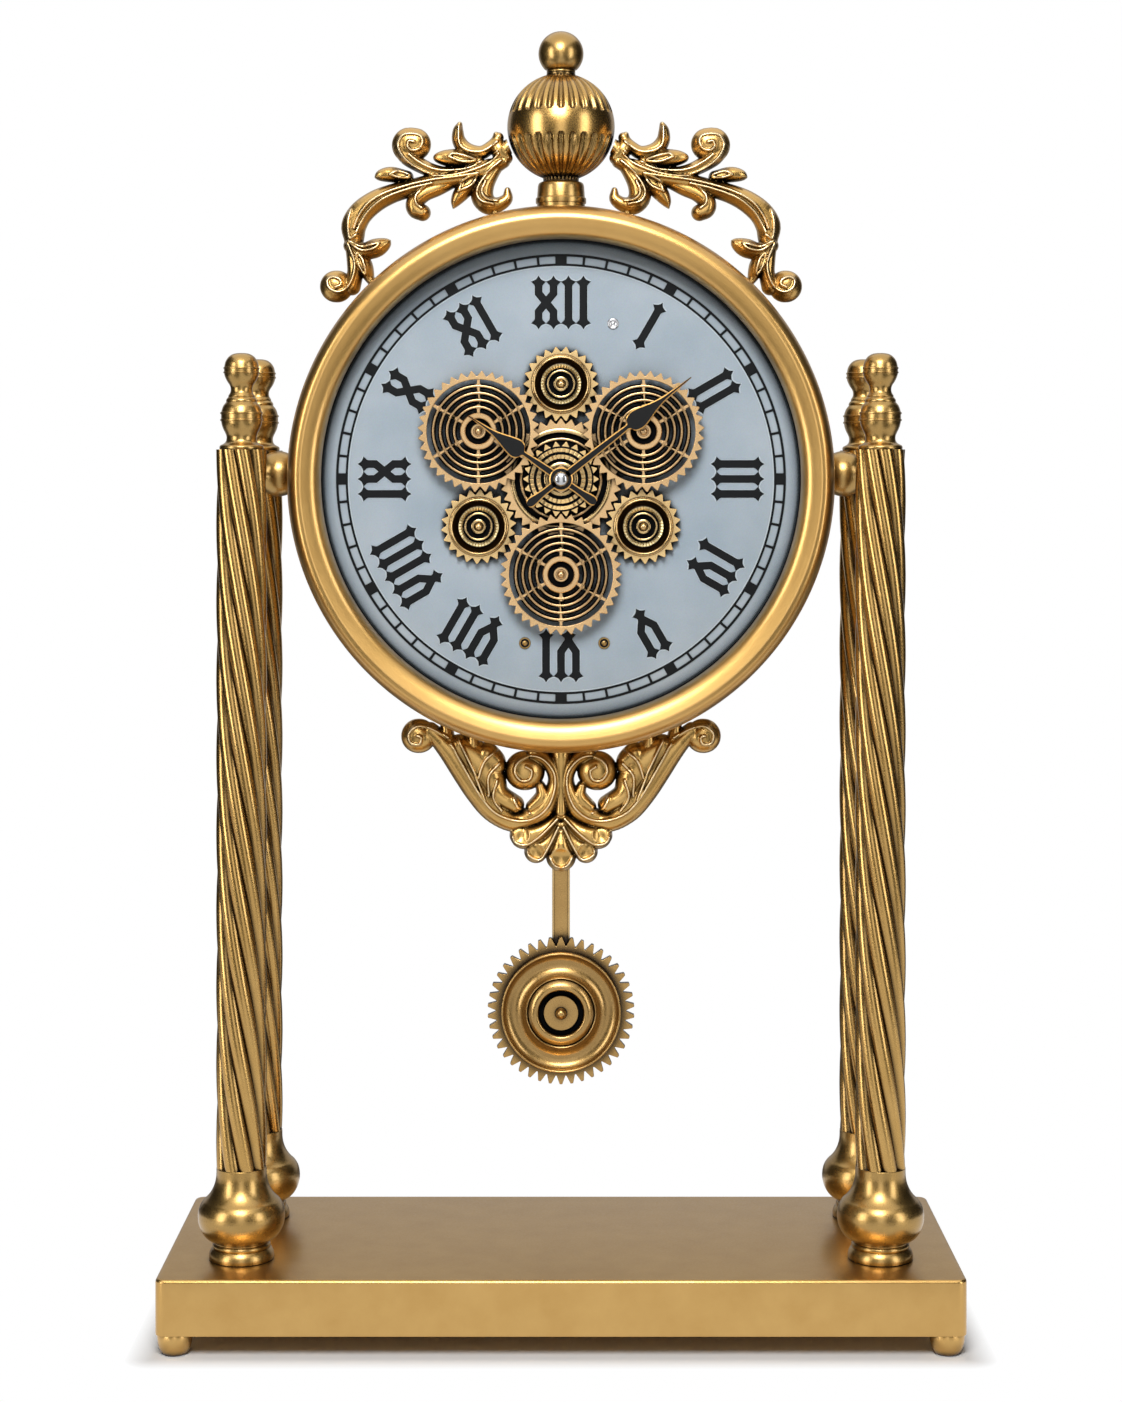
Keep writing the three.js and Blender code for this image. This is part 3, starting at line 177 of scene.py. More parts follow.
def skin(loops, ring=False):
    """A closed shape over loops of equal length: a ring joins the last to the first, else ends are capped."""
    count = len(loops[0])
    faces = []
    for i in range(len(loops) if ring else len(loops) - 1):
        low, high = i * count, (i + 1) % len(loops) * count
        for j in range(count):
            k = (j + 1) % count
            faces.append((low + j, low + k, high + k, high + j))
    if not ring:
        last = (len(loops) - 1) * count
        faces += [tuple(range(count)), tuple(range(last, last + count))]
    return [point for loop in loops for point in loop], faces


def node_box(node):
    """Lowest and highest corner and middle of a CAD node in mm."""
    low, high = (np.array(corner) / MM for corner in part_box(node))
    return low, high, (low + high) / 2


def arc(centre, radius, start, end, steps):
    """Points of a circular arc between two angles in degrees."""
    angles = np.radians(np.linspace(start, end, steps + 1))
    return [(centre[0] + radius * math.cos(a), centre[1] + radius * math.sin(a)) for a in angles]


base_low, base_high, _ = node_box("base_shell")
base_width, base_depth = (base_high - base_low)[:2]
base_bottom, base_top = base_low[2], base_high[2]
BASE_CORNER = 5.0
BASE_EDGE = 1.6
BASE_WALL = 2.0


def tray_loop(inset, z):
    """The outline of the base at a height, drawn in by an inset."""
    x, y = base_width / 2 - BASE_CORNER, base_depth / 2 - BASE_CORNER
    outline = []
    for start, centre in ((0, (x, y)), (90, (-x, y)), (180, (-x, -y)), (270, (x, -y))):
        outline += arc(centre, BASE_CORNER - inset, start, start + 90, 8)
    return [(px, py, z) for px, py in outline]


tray = [(BASE_WALL, base_top - BASE_WALL), (BASE_WALL, base_bottom)]
tray += [(0.5, base_bottom), (0.12, base_bottom + 0.15), (0, base_bottom + 0.6)]
tray += arc((BASE_EDGE, base_top - BASE_EDGE), BASE_EDGE, 180, 90, 6)
make_piece("base_tray", skin([tray_loop(inset, z) for inset, z in tray]), satin_gold, "base_shell")


# Bottom plate and feet: a plate set between the tray's walls, and four bowl-shaped feet under it.
# The plate is the CAD solid with softened edges; the feet are turned from one profile.
def smooth(points, steps=6):
    """A round stretch of an outline: a curve through every point."""
    points = [np.array(point, float) for point in points]
    ends = [2 * points[0] - points[1], *points, 2 * points[-1] - points[-2]]
    line = []
    for a, b, c, d in zip(ends, ends[1:], ends[2:], ends[3:]):
        square, cube = 2 * a - 5 * b + 4 * c - d, 3 * b - a - 3 * c + d
        for t in np.arange(steps) / steps:
            line.append(0.5 * (2 * b + (c - a) * t + square * t**2 + cube * t**3))
    return [tuple(point) for point in [*line, points[-1]]]


def turned(profile, axis, centre=(0, 0, 0), rounds=48):
    """A lathe shape from (radius, height) points about an axis; a profile that meets itself makes a ring."""
    ring = np.allclose(profile[0], profile[-1])
    order = {"x": (2, 0, 1), "y": (0, 2, 1), "z": (0, 1, 2)}[axis]
    angles = np.arange(rounds) * 2 * math.pi / rounds
    loops = []
    for radius, height in profile[:-1] if ring else profile:
        loop = []
        for angle in angles:
            local = (radius * math.cos(angle), radius * math.sin(angle), height)
            loop.append(tuple(centre[i] + local[order[i]] for i in range(3)))
        loops.append(loop)
    return skin(loops, ring)


def dress(node, finish, bevel):
    """Keeps a CAD node's own shape and gives it a finish and soft edges."""
    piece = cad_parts[node]
    piece.data.materials.clear()
    piece.data.materials.append(finish)
    soft_edges(piece, bevel)


CORNERS = ("front_left", "front_right", "rear_left", "rear_right")
FOOT_PROFILE = (
    [(0, 0), (4.6, 0)]
    + smooth([(4.6, 0), (5.9, 0.5), (7.2, 2.4), (8.1, 5.2), (8.45, 8.0), (8.3, 9.7)], 4)
    + [(8.1, 10.5), (0, 10.5)]
)
dress("base_bottom_plate", satin_gold, 0.3)
for place in CORNERS:
    x, y = node_box("foot_" + place)[2][:2]
    foot = turned(FOOT_PROFILE, "z", (x, y, 0), 40)
    make_piece("bowl_foot_" + place, foot, satin_gold, "foot_" + place)

# Columns: a turned bulb, a rope-twisted tube and a two-ball finial, each clamped by a hidden tie rod.
# The cast parts are lacquered a little glossier than the tray, with a painted brown shade in the turned
# grooves.
cast_gold = lacquer("cast_gold_lacquer", "#b5945b", "#a38043", "#241404", 0.3, bump=0.02)
# Deep gold: the same lacquer with a stronger painted shade, so flutes and twists stay dark
deep_gold = lacquer(
    "wiped_shaded_gold_lacquer", "#c9a363", "#b48c49", "#180d03", 0.26, bump=0.02, creases=(0.58, 1.0)
)


def tone(name, colour, roughness, detail, bump, metallic=0.0, specular=0.5):
    """A plain finish: slightly uneven tone and fine scratches of the given size in mm."""
    finish, shader = new_finish(name)
    wear = noise(finish, add_node(finish, "TexCoord", output="Object"), detail, 3.0)
    darker = tuple(value * 0.8 for value in linear(colour)[:3]) + (1.0,)
    plug(finish, shader, {
        "Base Color": mix(finish, wear, darker, colour),
        "Roughness": remap(finish, wear, 0, 1, roughness - 0.06, roughness + 0.08),
        "Normal": add_node(finish, "Bump", {"Height": wear, "Strength": bump, "Distance": 0.1 * MM}),
        "Metallic": metallic,
        "Specular IOR Level": specular,
    })
    return finish


# Bright steel: cool and nearly mirror-like, so small parts read as turned metal
bright_steel = tone("bright_turned_steel", "#c9cacd", 0.22, 0.6, 0.05, metallic=1.0)

ROD_ROOM = 3.4
BULB_PROFILE = (
    [(ROD_ROOM, 0), (15.6, 0), (15.95, 0.4)]
    + smooth([(15.95, 0.4), (16.0, 2.0), (15.6, 3.6), (14.9, 4.9), (14.3, 5.7)], 3)
    + smooth([(14.0, 5.8), (14.25, 6.5), (14.2, 7.3), (13.7, 8.1)], 3)
    + [(13.4, 8.3), (13.4, 8.8)]
    + smooth([(14.4, 9.2), (16.6, 10.5), (18.5, 12.3), (20.2, 15.2), (21.2, 18.7), (21.4, 21.2)], 4)
    + smooth([(21.4, 21.2), (21.1, 23.9), (20.2, 26.5), (18.9, 28.5)], 4)
    + smooth([(18.5, 28.9), (17.2, 30.1), (15.8, 31.7), (14.5, 33.7), (13.4, 36.1), (12.7, 38.5)], 4)
    + smooth([(12.7, 38.5), (12.35, 41), (12.25, 44.7)], 4)
    + [(12.0, 45), (ROD_ROOM, 45), (ROD_ROOM, 0)]
)
FINIAL_PROFILE = (
    [(0, 14.3), (ROD_ROOM, 14.3), (ROD_ROOM, 0), (10.6, 0)]
    + smooth([(10.6, 0), (10.8, 0.5), (10.8, 1.4), (10.3, 2.1)], 3)
    + smooth([(9.6, 2.4), (8.4, 3.1), (7.6, 4.2), (7.35, 5.6), (7.5, 6.9), (8.1, 8.4)], 3)
    + smooth([(8.1, 8.4), (9.0, 10.2), (9.7, 12.2), (10.0, 13.9)], 3)
    + [(10.4, 14.1), (10.48, 14.5), (10.4, 14.9), (10.05, 15.1)]
    + [(10.05, 17.3), (10.4, 17.5), (10.48, 17.9), (10.4, 18.3)]
    + smooth([(9.95, 18.5), (9.6, 19.8), (8.9, 21.6), (7.5, 23.4)], 3)
    + smooth([(7.5, 23.4), (7.6, 24.1), (7.2, 25.0), (6.4, 25.9)], 3)
    + smooth([(6.4, 25.9), (6.5, 26.4), (6.1, 27.1)], 2)
    + smooth([(6.1, 27.1), (5.5, 28.2), (5.3, 29.6), (5.5, 30.9), (6.0, 32.0)], 3)
    + smooth([(6.0, 32.0), (7.2, 33.8), (8.2, 36.0), (8.55, 37.4)], 3)
    + [(8.9, 37.6), (8.95, 37.9), (8.9, 38.2), (8.6, 38.4)]
    + [(8.6, 39.6), (8.9, 39.8), (8.95, 40.1), (8.85, 40.4), (8.5, 40.6)]
    + smooth([(8.5, 40.6), (7.9, 43.2), (6.5, 45.4), (4.6, 46.8), (2.4, 47.4), (0, 47.5)], 4)
)
SHAFT_RADIUS = 12.4
SHAFT_LOBES = 8
SHAFT_GROOVE = 2.3
SHAFT_LEAD = 303
SHAFT_BORE = 8.6


def rope_shaft(x, y, bottom, top, turn):
    """A tube with round lobes that meet in sharp valleys, twisted along its length."""
    per_lobe, steps = 10, 110
    count = SHAFT_LOBES * per_lobe
    swell = [abs(math.sin(math.pi * i / per_lobe)) ** 0.75 for i in range(count)]
    outer, inner = [], []
    for z in np.linspace(bottom, top, steps + 1):
        twist = turn - 2 * math.pi * (z - bottom) / SHAFT_LEAD
        angles = [twist + 2 * math.pi * i / count for i in range(count)]
        radii = [SHAFT_RADIUS - SHAFT_GROOVE * (1 - share) for share in swell]
        outer.append([(x + r * math.cos(a), y + r * math.sin(a), z) for r, a in zip(radii, angles)])
        inner.append([(x + SHAFT_BORE * math.cos(a), y + SHAFT_BORE * math.sin(a), z) for a in angles])
    return skin(outer + inner[::-1], ring=True)


for place in CORNERS:
    bulb_low, _, (x, y, _) = node_box("column_base_" + place)
    low, high, _ = node_box("column_shaft_" + place)
    finial_low = node_box("column_finial_" + place)[0]
    bulb = turned(BULB_PROFILE, "z", (x, y, bulb_low[2]), 64)
    make_piece("bulb_" + place, bulb, cast_gold, "column_base_" + place, 30)
    shaft = rope_shaft(x, y, low[2], high[2], 0 if "front" in place else math.pi)
    make_piece("rope_" + place, shaft, deep_gold, "column_shaft_" + place, 55)
    finial = turned(FINIAL_PROFILE, "z", (x, y, finial_low[2]), 56)
    make_piece("top_" + place, finial, cast_gold, "column_finial_" + place, 30)
    dress("tie_rod_" + place, bright_steel, 0.3)

# Suspension: a steel cross rod from front to rear column on each side, and a ball on a bolt that carries
# the drum. Rods and balls are turned; the bolts are the CAD solids with broken edges.
ROD_CHAMFER = 0.6
BALL_RADIUS = 11.5
BALL_BORE = 1.9
for side in ("left", "right"):
    low, high, middle = node_box("cross_rod_" + side)
    rod_radius = (high[2] - low[2]) / 2
    rim = rod_radius - ROD_CHAMFER
    rod_profile = [(0, low[1]), (rim, low[1]), (rod_radius, low[1] + ROD_CHAMFER)]
    rod_profile += [(rod_radius, high[1] - ROD_CHAMFER), (rim, high[1]), (0, high[1])]
    rod = turned(rod_profile, "y", (middle[0], 0, middle[2]), 32)
    make_piece("rod_" + side, rod, bright_steel, "cross_rod_" + side)
    low, high, middle = node_box("trunnion_ball_" + side)
    half = (high[0] - low[0]) / 2
    seat = math.degrees(math.asin(half / BALL_RADIUS))
    ball_profile = [(BALL_BORE, -half)] + arc((0, 0), BALL_RADIUS, -seat, seat, 28)
    ball_profile += [(BALL_BORE, half), (BALL_BORE, -half)]
    ball = turned(ball_profile, "x", tuple(middle), 48)
    make_piece("ball_" + side, ball, cast_gold, "trunnion_ball_" + side)
    dress("trunnion_bolt_" + side, bright_steel, 0.25)

# Drum: a rolled case, a cast bezel that wraps its front edge and a flat rear ring held by screws.
# All three are turned; the case has the slot that the pendulum hangs through.
drum_low, drum_high, drum_middle = node_box("case_shell")
drum_z = drum_middle[2]
DRUM = (0, 0, drum_z)
DRUM_ROUNDS = 180
case_front, case_back = drum_low[1], drum_high[1]
case_radius = drum_high[0]
CASE_WALL = 1.8
CASE_BEAD = CASE_WALL / 2
case_profile = [(case_radius, case_front)]
case_profile += arc((case_radius - CASE_BEAD, case_back - CASE_BEAD), CASE_BEAD, 0, 180, 8)
case_profile += [(case_radius - CASE_WALL, case_front), (case_radius, case_front)]
case = make_piece("drum_case", turned(case_profile, "y", DRUM, DRUM_ROUNDS), satin_gold, "case_shell", 35)
SLOT_HALF = 12.7
SLOT_FRONT, SLOT_BACK = 6.0, 13.5
slot_corners = [(-SLOT_HALF, SLOT_FRONT), (SLOT_HALF, SLOT_FRONT)]
slot_corners += [(SLOT_HALF, SLOT_BACK), (-SLOT_HALF, SLOT_BACK)]
slot_loops = [[(x, y, drum_z - case_radius + z) for x, y in slot_corners] for z in (-3, 8)]
cutter = make_piece("slot_cutter", skin(slot_loops), satin_gold)
cut = case.modifiers.new("pendulum_slot", "BOOLEAN")
cut.object = cutter
cut.operation = "DIFFERENCE"
cut.solver = "EXACT"
bpy.context.view_layer.update()
cut_mesh = bpy.data.meshes.new_from_object(case.evaluated_get(bpy.context.evaluated_depsgraph_get()))
case.modifiers.clear()
case.data = cut_mesh
case.data.shade_smooth()
case.data.set_sharp_from_angle(angle=math.radians(35))
bpy.data.objects.remove(cutter)

# Grained bezel: a lighter gold, with a fine grain that softens its highlight
bezel_gold = lacquer("grained_gold_lacquer", "#d3aa66", "#c59a57", "#3a240a", 0.34, grain=0.45, bump=0.08)
BEZEL_IN = [(119.7, -24.6), (120.1, -27.7), (121.1, -30.2), (122.8, -31.9), (125.2, -33.0), (129.4, -34.0)]
BEZEL_FRONT = [(129.4, -34.0), (131.4, -33.5), (133.2, -32.0), (134.7, -29.7), (135.8, -26.8), (136.3, -24.0)]
BEZEL_LIP = [(136.3, -24.0), (136.5, -21.8), (136.2, -20.0), (135.3, -18.4), (133.7, -17.3), (131.8, -17.0)]
BEZEL_PROFILE = [(119.7, -20.3), (119.7, -24.6)]
for stretch in (BEZEL_IN, BEZEL_FRONT, BEZEL_LIP):
    BEZEL_PROFILE += smooth(stretch, 5)
BEZEL_PROFILE += [(131.8, -20.3), (119.7, -20.3)]
make_piece("cast_bezel", turned(BEZEL_PROFILE, "y", DRUM, 240), bezel_gold, "bezel", 35)

ring_low, ring_high, ring_middle = node_box("rear_ring")
ring_front, ring_back = ring_low[1], ring_high[1]
RING_OPENING = 98.2
RING_EDGE = 131.3
ring_profile = [(RING_OPENING, ring_front), (RING_EDGE, ring_front)]
ring_profile += arc((RING_EDGE - 0.4, ring_middle[1]), (ring_back - ring_front) / 2, -60, 90, 5)
ring_profile += [(RING_OPENING + 0.5, ring_back), (RING_OPENING, ring_back - 0.5), (RING_OPENING, ring_front)]
make_piece("back_ring", turned(ring_profile, "y", DRUM, DRUM_ROUNDS), satin_gold, "rear_ring", 35)


def merged(shapes):
    """Several closed shapes as one list of points and faces."""
    points, faces = [], []
    for some_points, some_faces in shapes:
        start = len(points)
        points += some_points
        faces += [tuple(start + corner for corner in face) for face in some_faces]
    return points, faces


def screw_head(radius, height, centre, facing, slot_turn):
    """A domed head with a sawn slot, facing +1 or -1 along Y, its seat at the centre point."""
    rounds, half_slot, slot_depth = 24, radius * 0.14, 0.45
    c, s = math.cos(slot_turn), math.sin(slot_turn)
    loops = []
    for share, rise in ((1, 0), (1, 0.35), (0.94, 0.6), (0.78, 0.85), (0.5, 0.97), (0.25, 1)):
        loop = []
        for i in range(rounds):
            angle = 2 * math.pi * i / rounds
            x, z = share * radius * math.cos(angle), share * radius * math.sin(angle)
            sunk = slot_depth if abs(z) < half_slot and rise > 0.3 else 0.0
            y = facing * height * max(rise - sunk, 0.05)
            loop.append((centre[0] + x * c - z * s, centre[1] + y, centre[2] + x * s + z * c))
        loops.append(loop)
    return skin(loops)


RING_SCREWS = 6
SCREW_CIRCLE = 124
SCREW_RISE = 0.9
ring_screws = []
for i in range(RING_SCREWS):
    angle = math.radians(30 + 360 * i / RING_SCREWS)
    x, z = SCREW_CIRCLE * math.cos(angle), SCREW_CIRCLE * math.sin(angle)
    ring_screws.append(screw_head(2.6, SCREW_RISE, (x, ring_back - SCREW_RISE, drum_z + z), 1, angle * 2.3))
make_piece("back_ring_screws", merged(ring_screws), bright_steel, sharp=30)

# Dial: a painted steel disc with printed minute track and Roman numerals, and a black ring at its edge that
# paints the shadow under the bezel.
# The print stands a quarter millimetre proud over a pale outline, as thick screen ink does.
# Mottled matt paint: broad clouds and fine speckle keep the flat disc from reading as bare colour
dial_paint, dial_shader = new_finish("mottled_blue_grey_paint")
dial_place = add_node(dial_paint, "TexCoord", output="Object")
speckle = noise(dial_paint, dial_place, 0.7, 3.0)
cloud_share = remap(dial_paint, noise(dial_paint, dial_place, 32, 5.0), 0.3, 0.7)
dial_tone = mix(dial_paint, cloud_share, "#a2b1bd", "#b2bec8")
dial_grain = mix(dial_paint, 0.16, dial_tone, speckle.node.outputs[1], blend_type="OVERLAY")
# Painted shade: the paint darkens towards near-black in the corner under the bezel and, less, around the
# wheels
dial_open = add_node(dial_paint, "AmbientOcclusion", {"Distance": 10 * MM}, "AO", samples=8)
from_middle = {0: dial_place, 1: (0, 0, drum_z * MM)}
from_middle = add_node(dial_paint, "VectorMath", from_middle, operation="SUBTRACT")
from_middle = add_node(dial_paint, "VectorMath", {0: from_middle}, "Value", operation="LENGTH")
dial_shade_share = {
    0: remap(dial_paint, from_middle, 104 * MM, 114 * MM),
    2: remap(dial_paint, dial_open, 0.4, 0.75),
    3: remap(dial_paint, dial_open, 0.58, 0.95),
}
dial_bump = {"Height": speckle, "Strength": 0.1, "Distance": 0.2 * MM}
plug(dial_paint, dial_shader, {
    "Base Color": mix(dial_paint, add_node(dial_paint, "Mix", dial_shade_share), "#12171a", dial_grain),
    "Normal": add_node(dial_paint, "Bump", dial_bump),
    "Roughness": 0.55,
    "Specular IOR Level": 0.1,
})

# Black enamel has a slight sheen, for the print and the black shadow ring; the outline ink is pale and flat
black_enamel = tone("black_enamel", "#0d1013", 0.55, 1.5, 0.08, specular=0.15)
pale_ink = tone("pale_outline_ink", "#c3d0d9", 0.6, 1.5, 0.05)

dial_back = case_front + 8.0
dial_front = dial_back - 1.2
DIAL_RINGS = [5.3, 40, 80, 129.3]
dial_profile = [(r, dial_front) for r in DIAL_RINGS] + [(r, dial_back) for r in DIAL_RINGS[::-1]]
dial_disc = turned([*dial_profile, dial_profile[0]], "y", DRUM, DRUM_ROUNDS)
make_piece("dial_disc", dial_disc, dial_paint, "dial_plate", 35)


def on_dial(profile, centre, rounds):
    """A lathe shape from (radius, distance in front of the dial) points."""
    return turned([(radius, dial_front - rise) for radius, rise in profile], "y", centre, rounds)


def band(inner, outer, back, front):
    """The square section of a plain ring."""
    return [(inner, back), (outer, back), (outer, front), (inner, front), (inner, back)]


def flat_ring(inner, outer, rise, rounds=DRUM_ROUNDS):
    """A plain ring that lies on the dial."""
    return on_dial(band(inner, outer, 0, rise), DRUM, rounds)


# Painted shadow: a black ring stands in for the shade the bezel casts at the dial's edge
make_piece("dial_shadow_ring", flat_ring(119.5, 121, 0.9, 240), black_enamel)


def prism(outline, front, back, centre=DRUM):
    """A flat plate from an outline of (x, z) points about a centre, between two depths."""
    return skin([[(centre[0] + x, y, centre[2] + z) for x, z in outline] for y in (front, back)])


def radial(points, hour_angle):
    """Turns an outline drawn at twelve o'clock to another place on the dial."""
    c, s = math.cos(hour_angle), math.sin(hour_angle)
    return [(x * c + z * s, -x * s + z * c) for x, z in points]


STEM_PITCH = 7.5
STEM_HALF = 1.95


def stroke(path, grow):
    """Outline of one numeral stroke, widened all round: a mitred band with a spear point at both ends."""
    flare, barb, neck = 3.7 + grow, 3.1, 5.6
    half = STEM_HALF + grow
    path = [np.array(point, float) for point in path]
    steps = [(b - a) / np.linalg.norm(b - a) for a, b in zip(path, path[1:])]
    path = [path[0] - steps[0] * grow * 1.6, *path[1:-1], path[-1] + steps[-1] * grow * 1.6]
    steps = [(b - a) / np.linalg.norm(b - a) for a, b in zip(path, path[1:])]

    def spear(tip, inward):
        """From the left edge of the band round the point to its right edge, seen from the band."""
        left = np.array([-inward[1], inward[0]])
        curve = smooth([(half, neck), (half + 0.35, neck - 1.0), (flare, barb)], 2)
        curve += smooth([(flare, barb), (1.3 + grow, 2.0), (0, 0)], 2)[1:]
        there = [tip + left * aside + inward * along for aside, along in curve]
        return there + [tip - left * aside + inward * along for aside, along in curve[-2::-1]]

    edge = {1: [], -1: []}
    for here, a, b in zip(path[1:], steps, steps[1:]):
        bisector = np.array([-(a + b)[1], (a + b)[0]])
        bisector /= np.linalg.norm(bisector)
        reach = half / (bisector @ np.array([-a[1], a[0]]))
        for side in edge:
            edge[side].append(here + side * bisector * reach)
    start, end = spear(path[0], steps[0]), spear(path[-1], -steps[-1])
    return [tuple(p) for p in start[::-1] + edge[1] + end[::-1] + edge[-1][::-1]]


NUMERALS = ("XII", "I", "II", "III", "IV", "V", "VI", "VII", "VIII", "IX", "X", "XI")
NUMERAL_RADIUS = 88.5
NUMERAL_HALF = 13.6
CROSS_BEND = 4.6
FORK_START, FORK_END = -1.8, -7.4


def numeral_paths(numeral):
    """Centre lines of the strokes of a Roman numeral, standing upright about its middle."""
    h, w = NUMERAL_HALF, STEM_PITCH / 2
    x = -w * sum(1 if letter == "I" else 2 for letter in numeral)
    paths = []
    for letter in numeral:
        room = w if letter == "I" else 2 * w
        x += room
        if letter == "I":
            paths.append([(x, h), (x, -h)])
        for side in (-w, w) if letter != "I" else ():
            if letter == "X":
                bends = [(x + side, CROSS_BEND), (x - side, -CROSS_BEND), (x - side, -h)]
            else:
                bends = [(x + side, FORK_START), (x, FORK_END), (x, -h)]
            paths.append([(x + side, h), *bends])
        x += room
    return paths


INK = 0.24
OUTLINE_INK = 0.1
STAGGER = 0.012
numerals, outlines = [], []
for hour, numeral in enumerate(NUMERALS):
    for i, path in enumerate(numeral_paths(numeral)):
        overlap = STAGGER * (i + 1)
        for shapes, grow, rise in ((numerals, 0, INK), (outlines, 0.42, OUTLINE_INK)):
            shape = [(x, z + NUMERAL_RADIUS) for x, z in stroke(path, grow)]
            shape = radial(shape, math.radians(30 * hour))
            shapes.append(prism(shape, dial_front - rise - overlap, dial_front + overlap))
make_piece("numerals", merged(numerals), black_enamel, sharp=30)
make_piece("numeral_outlines", merged(outlines), pale_ink, sharp=30)

TRACK_INNER, TRACK_OUTER = 107.4, 112.2
TRACK_LINE = 1.05
HOUR_HALF, MINUTE_HALF = 2.8, 0.55
track = [flat_ring(r - TRACK_LINE / 2, r + TRACK_LINE / 2, INK) for r in (TRACK_INNER, TRACK_OUTER)]
for minute in range(60):
    half = HOUR_HALF if minute % 5 == 0 else MINUTE_HALF
    tick = [(-half, TRACK_INNER), (half, TRACK_INNER), (half, TRACK_OUTER), (-half, TRACK_OUTER)]
    tick = radial(tick, math.radians(6 * minute))
    track.append(prism(tick, dial_front - INK - STAGGER, dial_front + STAGGER))
make_piece("minute_track", merged(track), black_enamel, sharp=30)
make_piece("track_outline", flat_ring(TRACK_INNER - 1.25, TRACK_INNER - 0.55, 0.08), pale_ink)


# Dial screws: one steel eyelet high on the right and two brass screws low, beside the numeral VI.
# Both are turned, and the screws stand in a collar whose groove round their slotted heads is painted black as
# its shade.
def in_well(inner, outer, floor, centre):
    """Picks the faces of a sunk ground between two radii."""
    def pick(point, normal):
        radius = math.hypot(point[0] - centre[0], point[2] - centre[2])
        return inner < radius < outer and dial_front - point[1] < floor
    return pick


EYELET_PLACE = (26.1, 0, drum_z + 77.8)
EYELET_PROFILE = (
    [(0, 0)]
    + smooth([(2.9, 0), (2.9, 0.3), (2.5, 0.7), (1.8, 0.75), (1.35, 0.4)], 3)
    + [(0.9, 0.25), (0, 0.45)]
)
make_piece("dial_eyelet", on_dial(EYELET_PROFILE, EYELET_PLACE, 32), bright_steel, sharp=30)
SCREW_DROP = 82.3
SCREW_HEAD = 1.3
COLLAR_SECTION = [(0, 0), (2.9, 0), (2.9, 0.5), (2.6, 0.9), (2.3, 0.9), (2.1, 0.45), (0, 0.45)]
for side, x in (("left", -18.1), ("right", 21.6)):
    seat = (x, dial_front - 0.4, drum_z - SCREW_DROP)
    collar = on_dial(COLLAR_SECTION, (x, 0, seat[2]), 32)
    brass = merged([collar, screw_head(SCREW_HEAD, 0.8, seat, -1, 0.7)])
    # Painted shade: the groove floor round the head takes the black enamel
    groove = in_well(SCREW_HEAD, 2.15, 2.0, seat)
    make_piece("dial_screw_" + side, brass, cast_gold, sharp=30, second=black_enamel, paint=groove)

# Show wheels: seven pressed wheels in two layers on the dial, gilt or bronzed, with black sunk grounds that
# also paint the shade behind the grilles and in the wells.
# Depths are counted forward from the dial. Grille wheels have thin rings on six spokes.
# Bronze is tan with a satin sheen, bright gold shines pale on its edges, both with painted shade in their
# creases, and a dark bronze and a black paint the shade on flanks, in cups and behind the grilles
bronze = lacquer(
    "antique_bronze_lacquer", "#cdac7d", "#b59163", "#241505", 0.28, bump=0.03
)
bright_gold = lacquer(
    "bright_gold_lacquer", "#d6b985", "#bb9a63", "#160c03", 0.24, bump=0.03, creases=(0.4, 0.9)
)
# The black is black paint and also painted shade; the dark bronze is painted shade
sunk_black = tone("black_paint_and_shade", "#050506", 0.6, 1.5, 0.05, specular=0.05)
dark_bronze = lacquer("dark_bronze_shade", "#4a3319", "#382510", "#160d04", 0.36)

WHEEL_DISTANCE = 47.56
LARGE_TEETH, SMALL_TEETH = 36, 22
LARGE_TIP, SMALL_TIP = 30.27, 18.79
TOOTH_DEPTH = 2.7
REAR_LAYER = (1.0, 4.0)
FRONT_LAYER = (5.2, 8.2)


def toothed_ring(teeth, tip, depth, phase, inner, front, back, centre, land):
    """A flat ring with pointed teeth outside, each with a narrow land, and a round hole."""
    pitch = math.pi / teeth
    outer, hole = [], []
    for i in range(teeth):
        middle = phase + 2 * pitch * i
        for share, radius in ((-0.9, tip - depth), (-land, tip), (land, tip), (0.9, tip - depth)):
            c, s = math.cos(middle + share * pitch), math.sin(middle + share * pitch)
            outer.append((radius * c, radius * s))
            hole.append((inner * c, inner * s))
    loops = []
    for outline, y in ((outer, front), (outer, back), (hole, back), (hole, front)):
        loops.append([(centre[0] + x, y, centre[2] + z) for x, z in outline])
    return skin(loops, ring=True)


def wheel_rim(teeth, tip, phase, inner, layer, centre, land=0.1):
    """The toothed ring of a show wheel in one of the two layers."""
    back, front = (dial_front - depth for depth in layer)
    return toothed_ring(teeth, tip, TOOTH_DEPTH, phase, inner, front, back, centre, land)


def rounded_ring(inner, outer, back, front, centre, rounds=72):
    """A ring with a soft front, given as distances in front of the dial."""
    soft = min(outer - inner, front - back) * 0.3
    edge = soft * 0.3
    profile = [(inner, back), (outer, back), (outer, front - soft), (outer - edge, front - edge)]
    profile += [(outer - soft, front), (inner + soft, front)]
    profile += [(inner + edge, front - edge), (inner, front - soft), (inner, back)]
    return on_dial(profile, centre, rounds)


def notched_ring(inner, outer, back, front, notches, centre, sink):
    """A ring scored with fine radial notches across its front, which slopes inwards by the sink."""
    count, depth = 4 * notches, 0.35
    loops = []
    for radius, rise in ((inner, back), (outer, back), (outer, front), (inner, front - sink)):
        loop = []
        for i in range(count):
            angle = 2 * math.pi * i / count
            y = dial_front - rise + (depth if rise > back and i % 4 == 0 else 0)
            loop.append((centre[0] + radius * math.cos(angle), y, centre[2] + radius * math.sin(angle)))
        loops.append(loop)
    return skin(loops, ring=True)


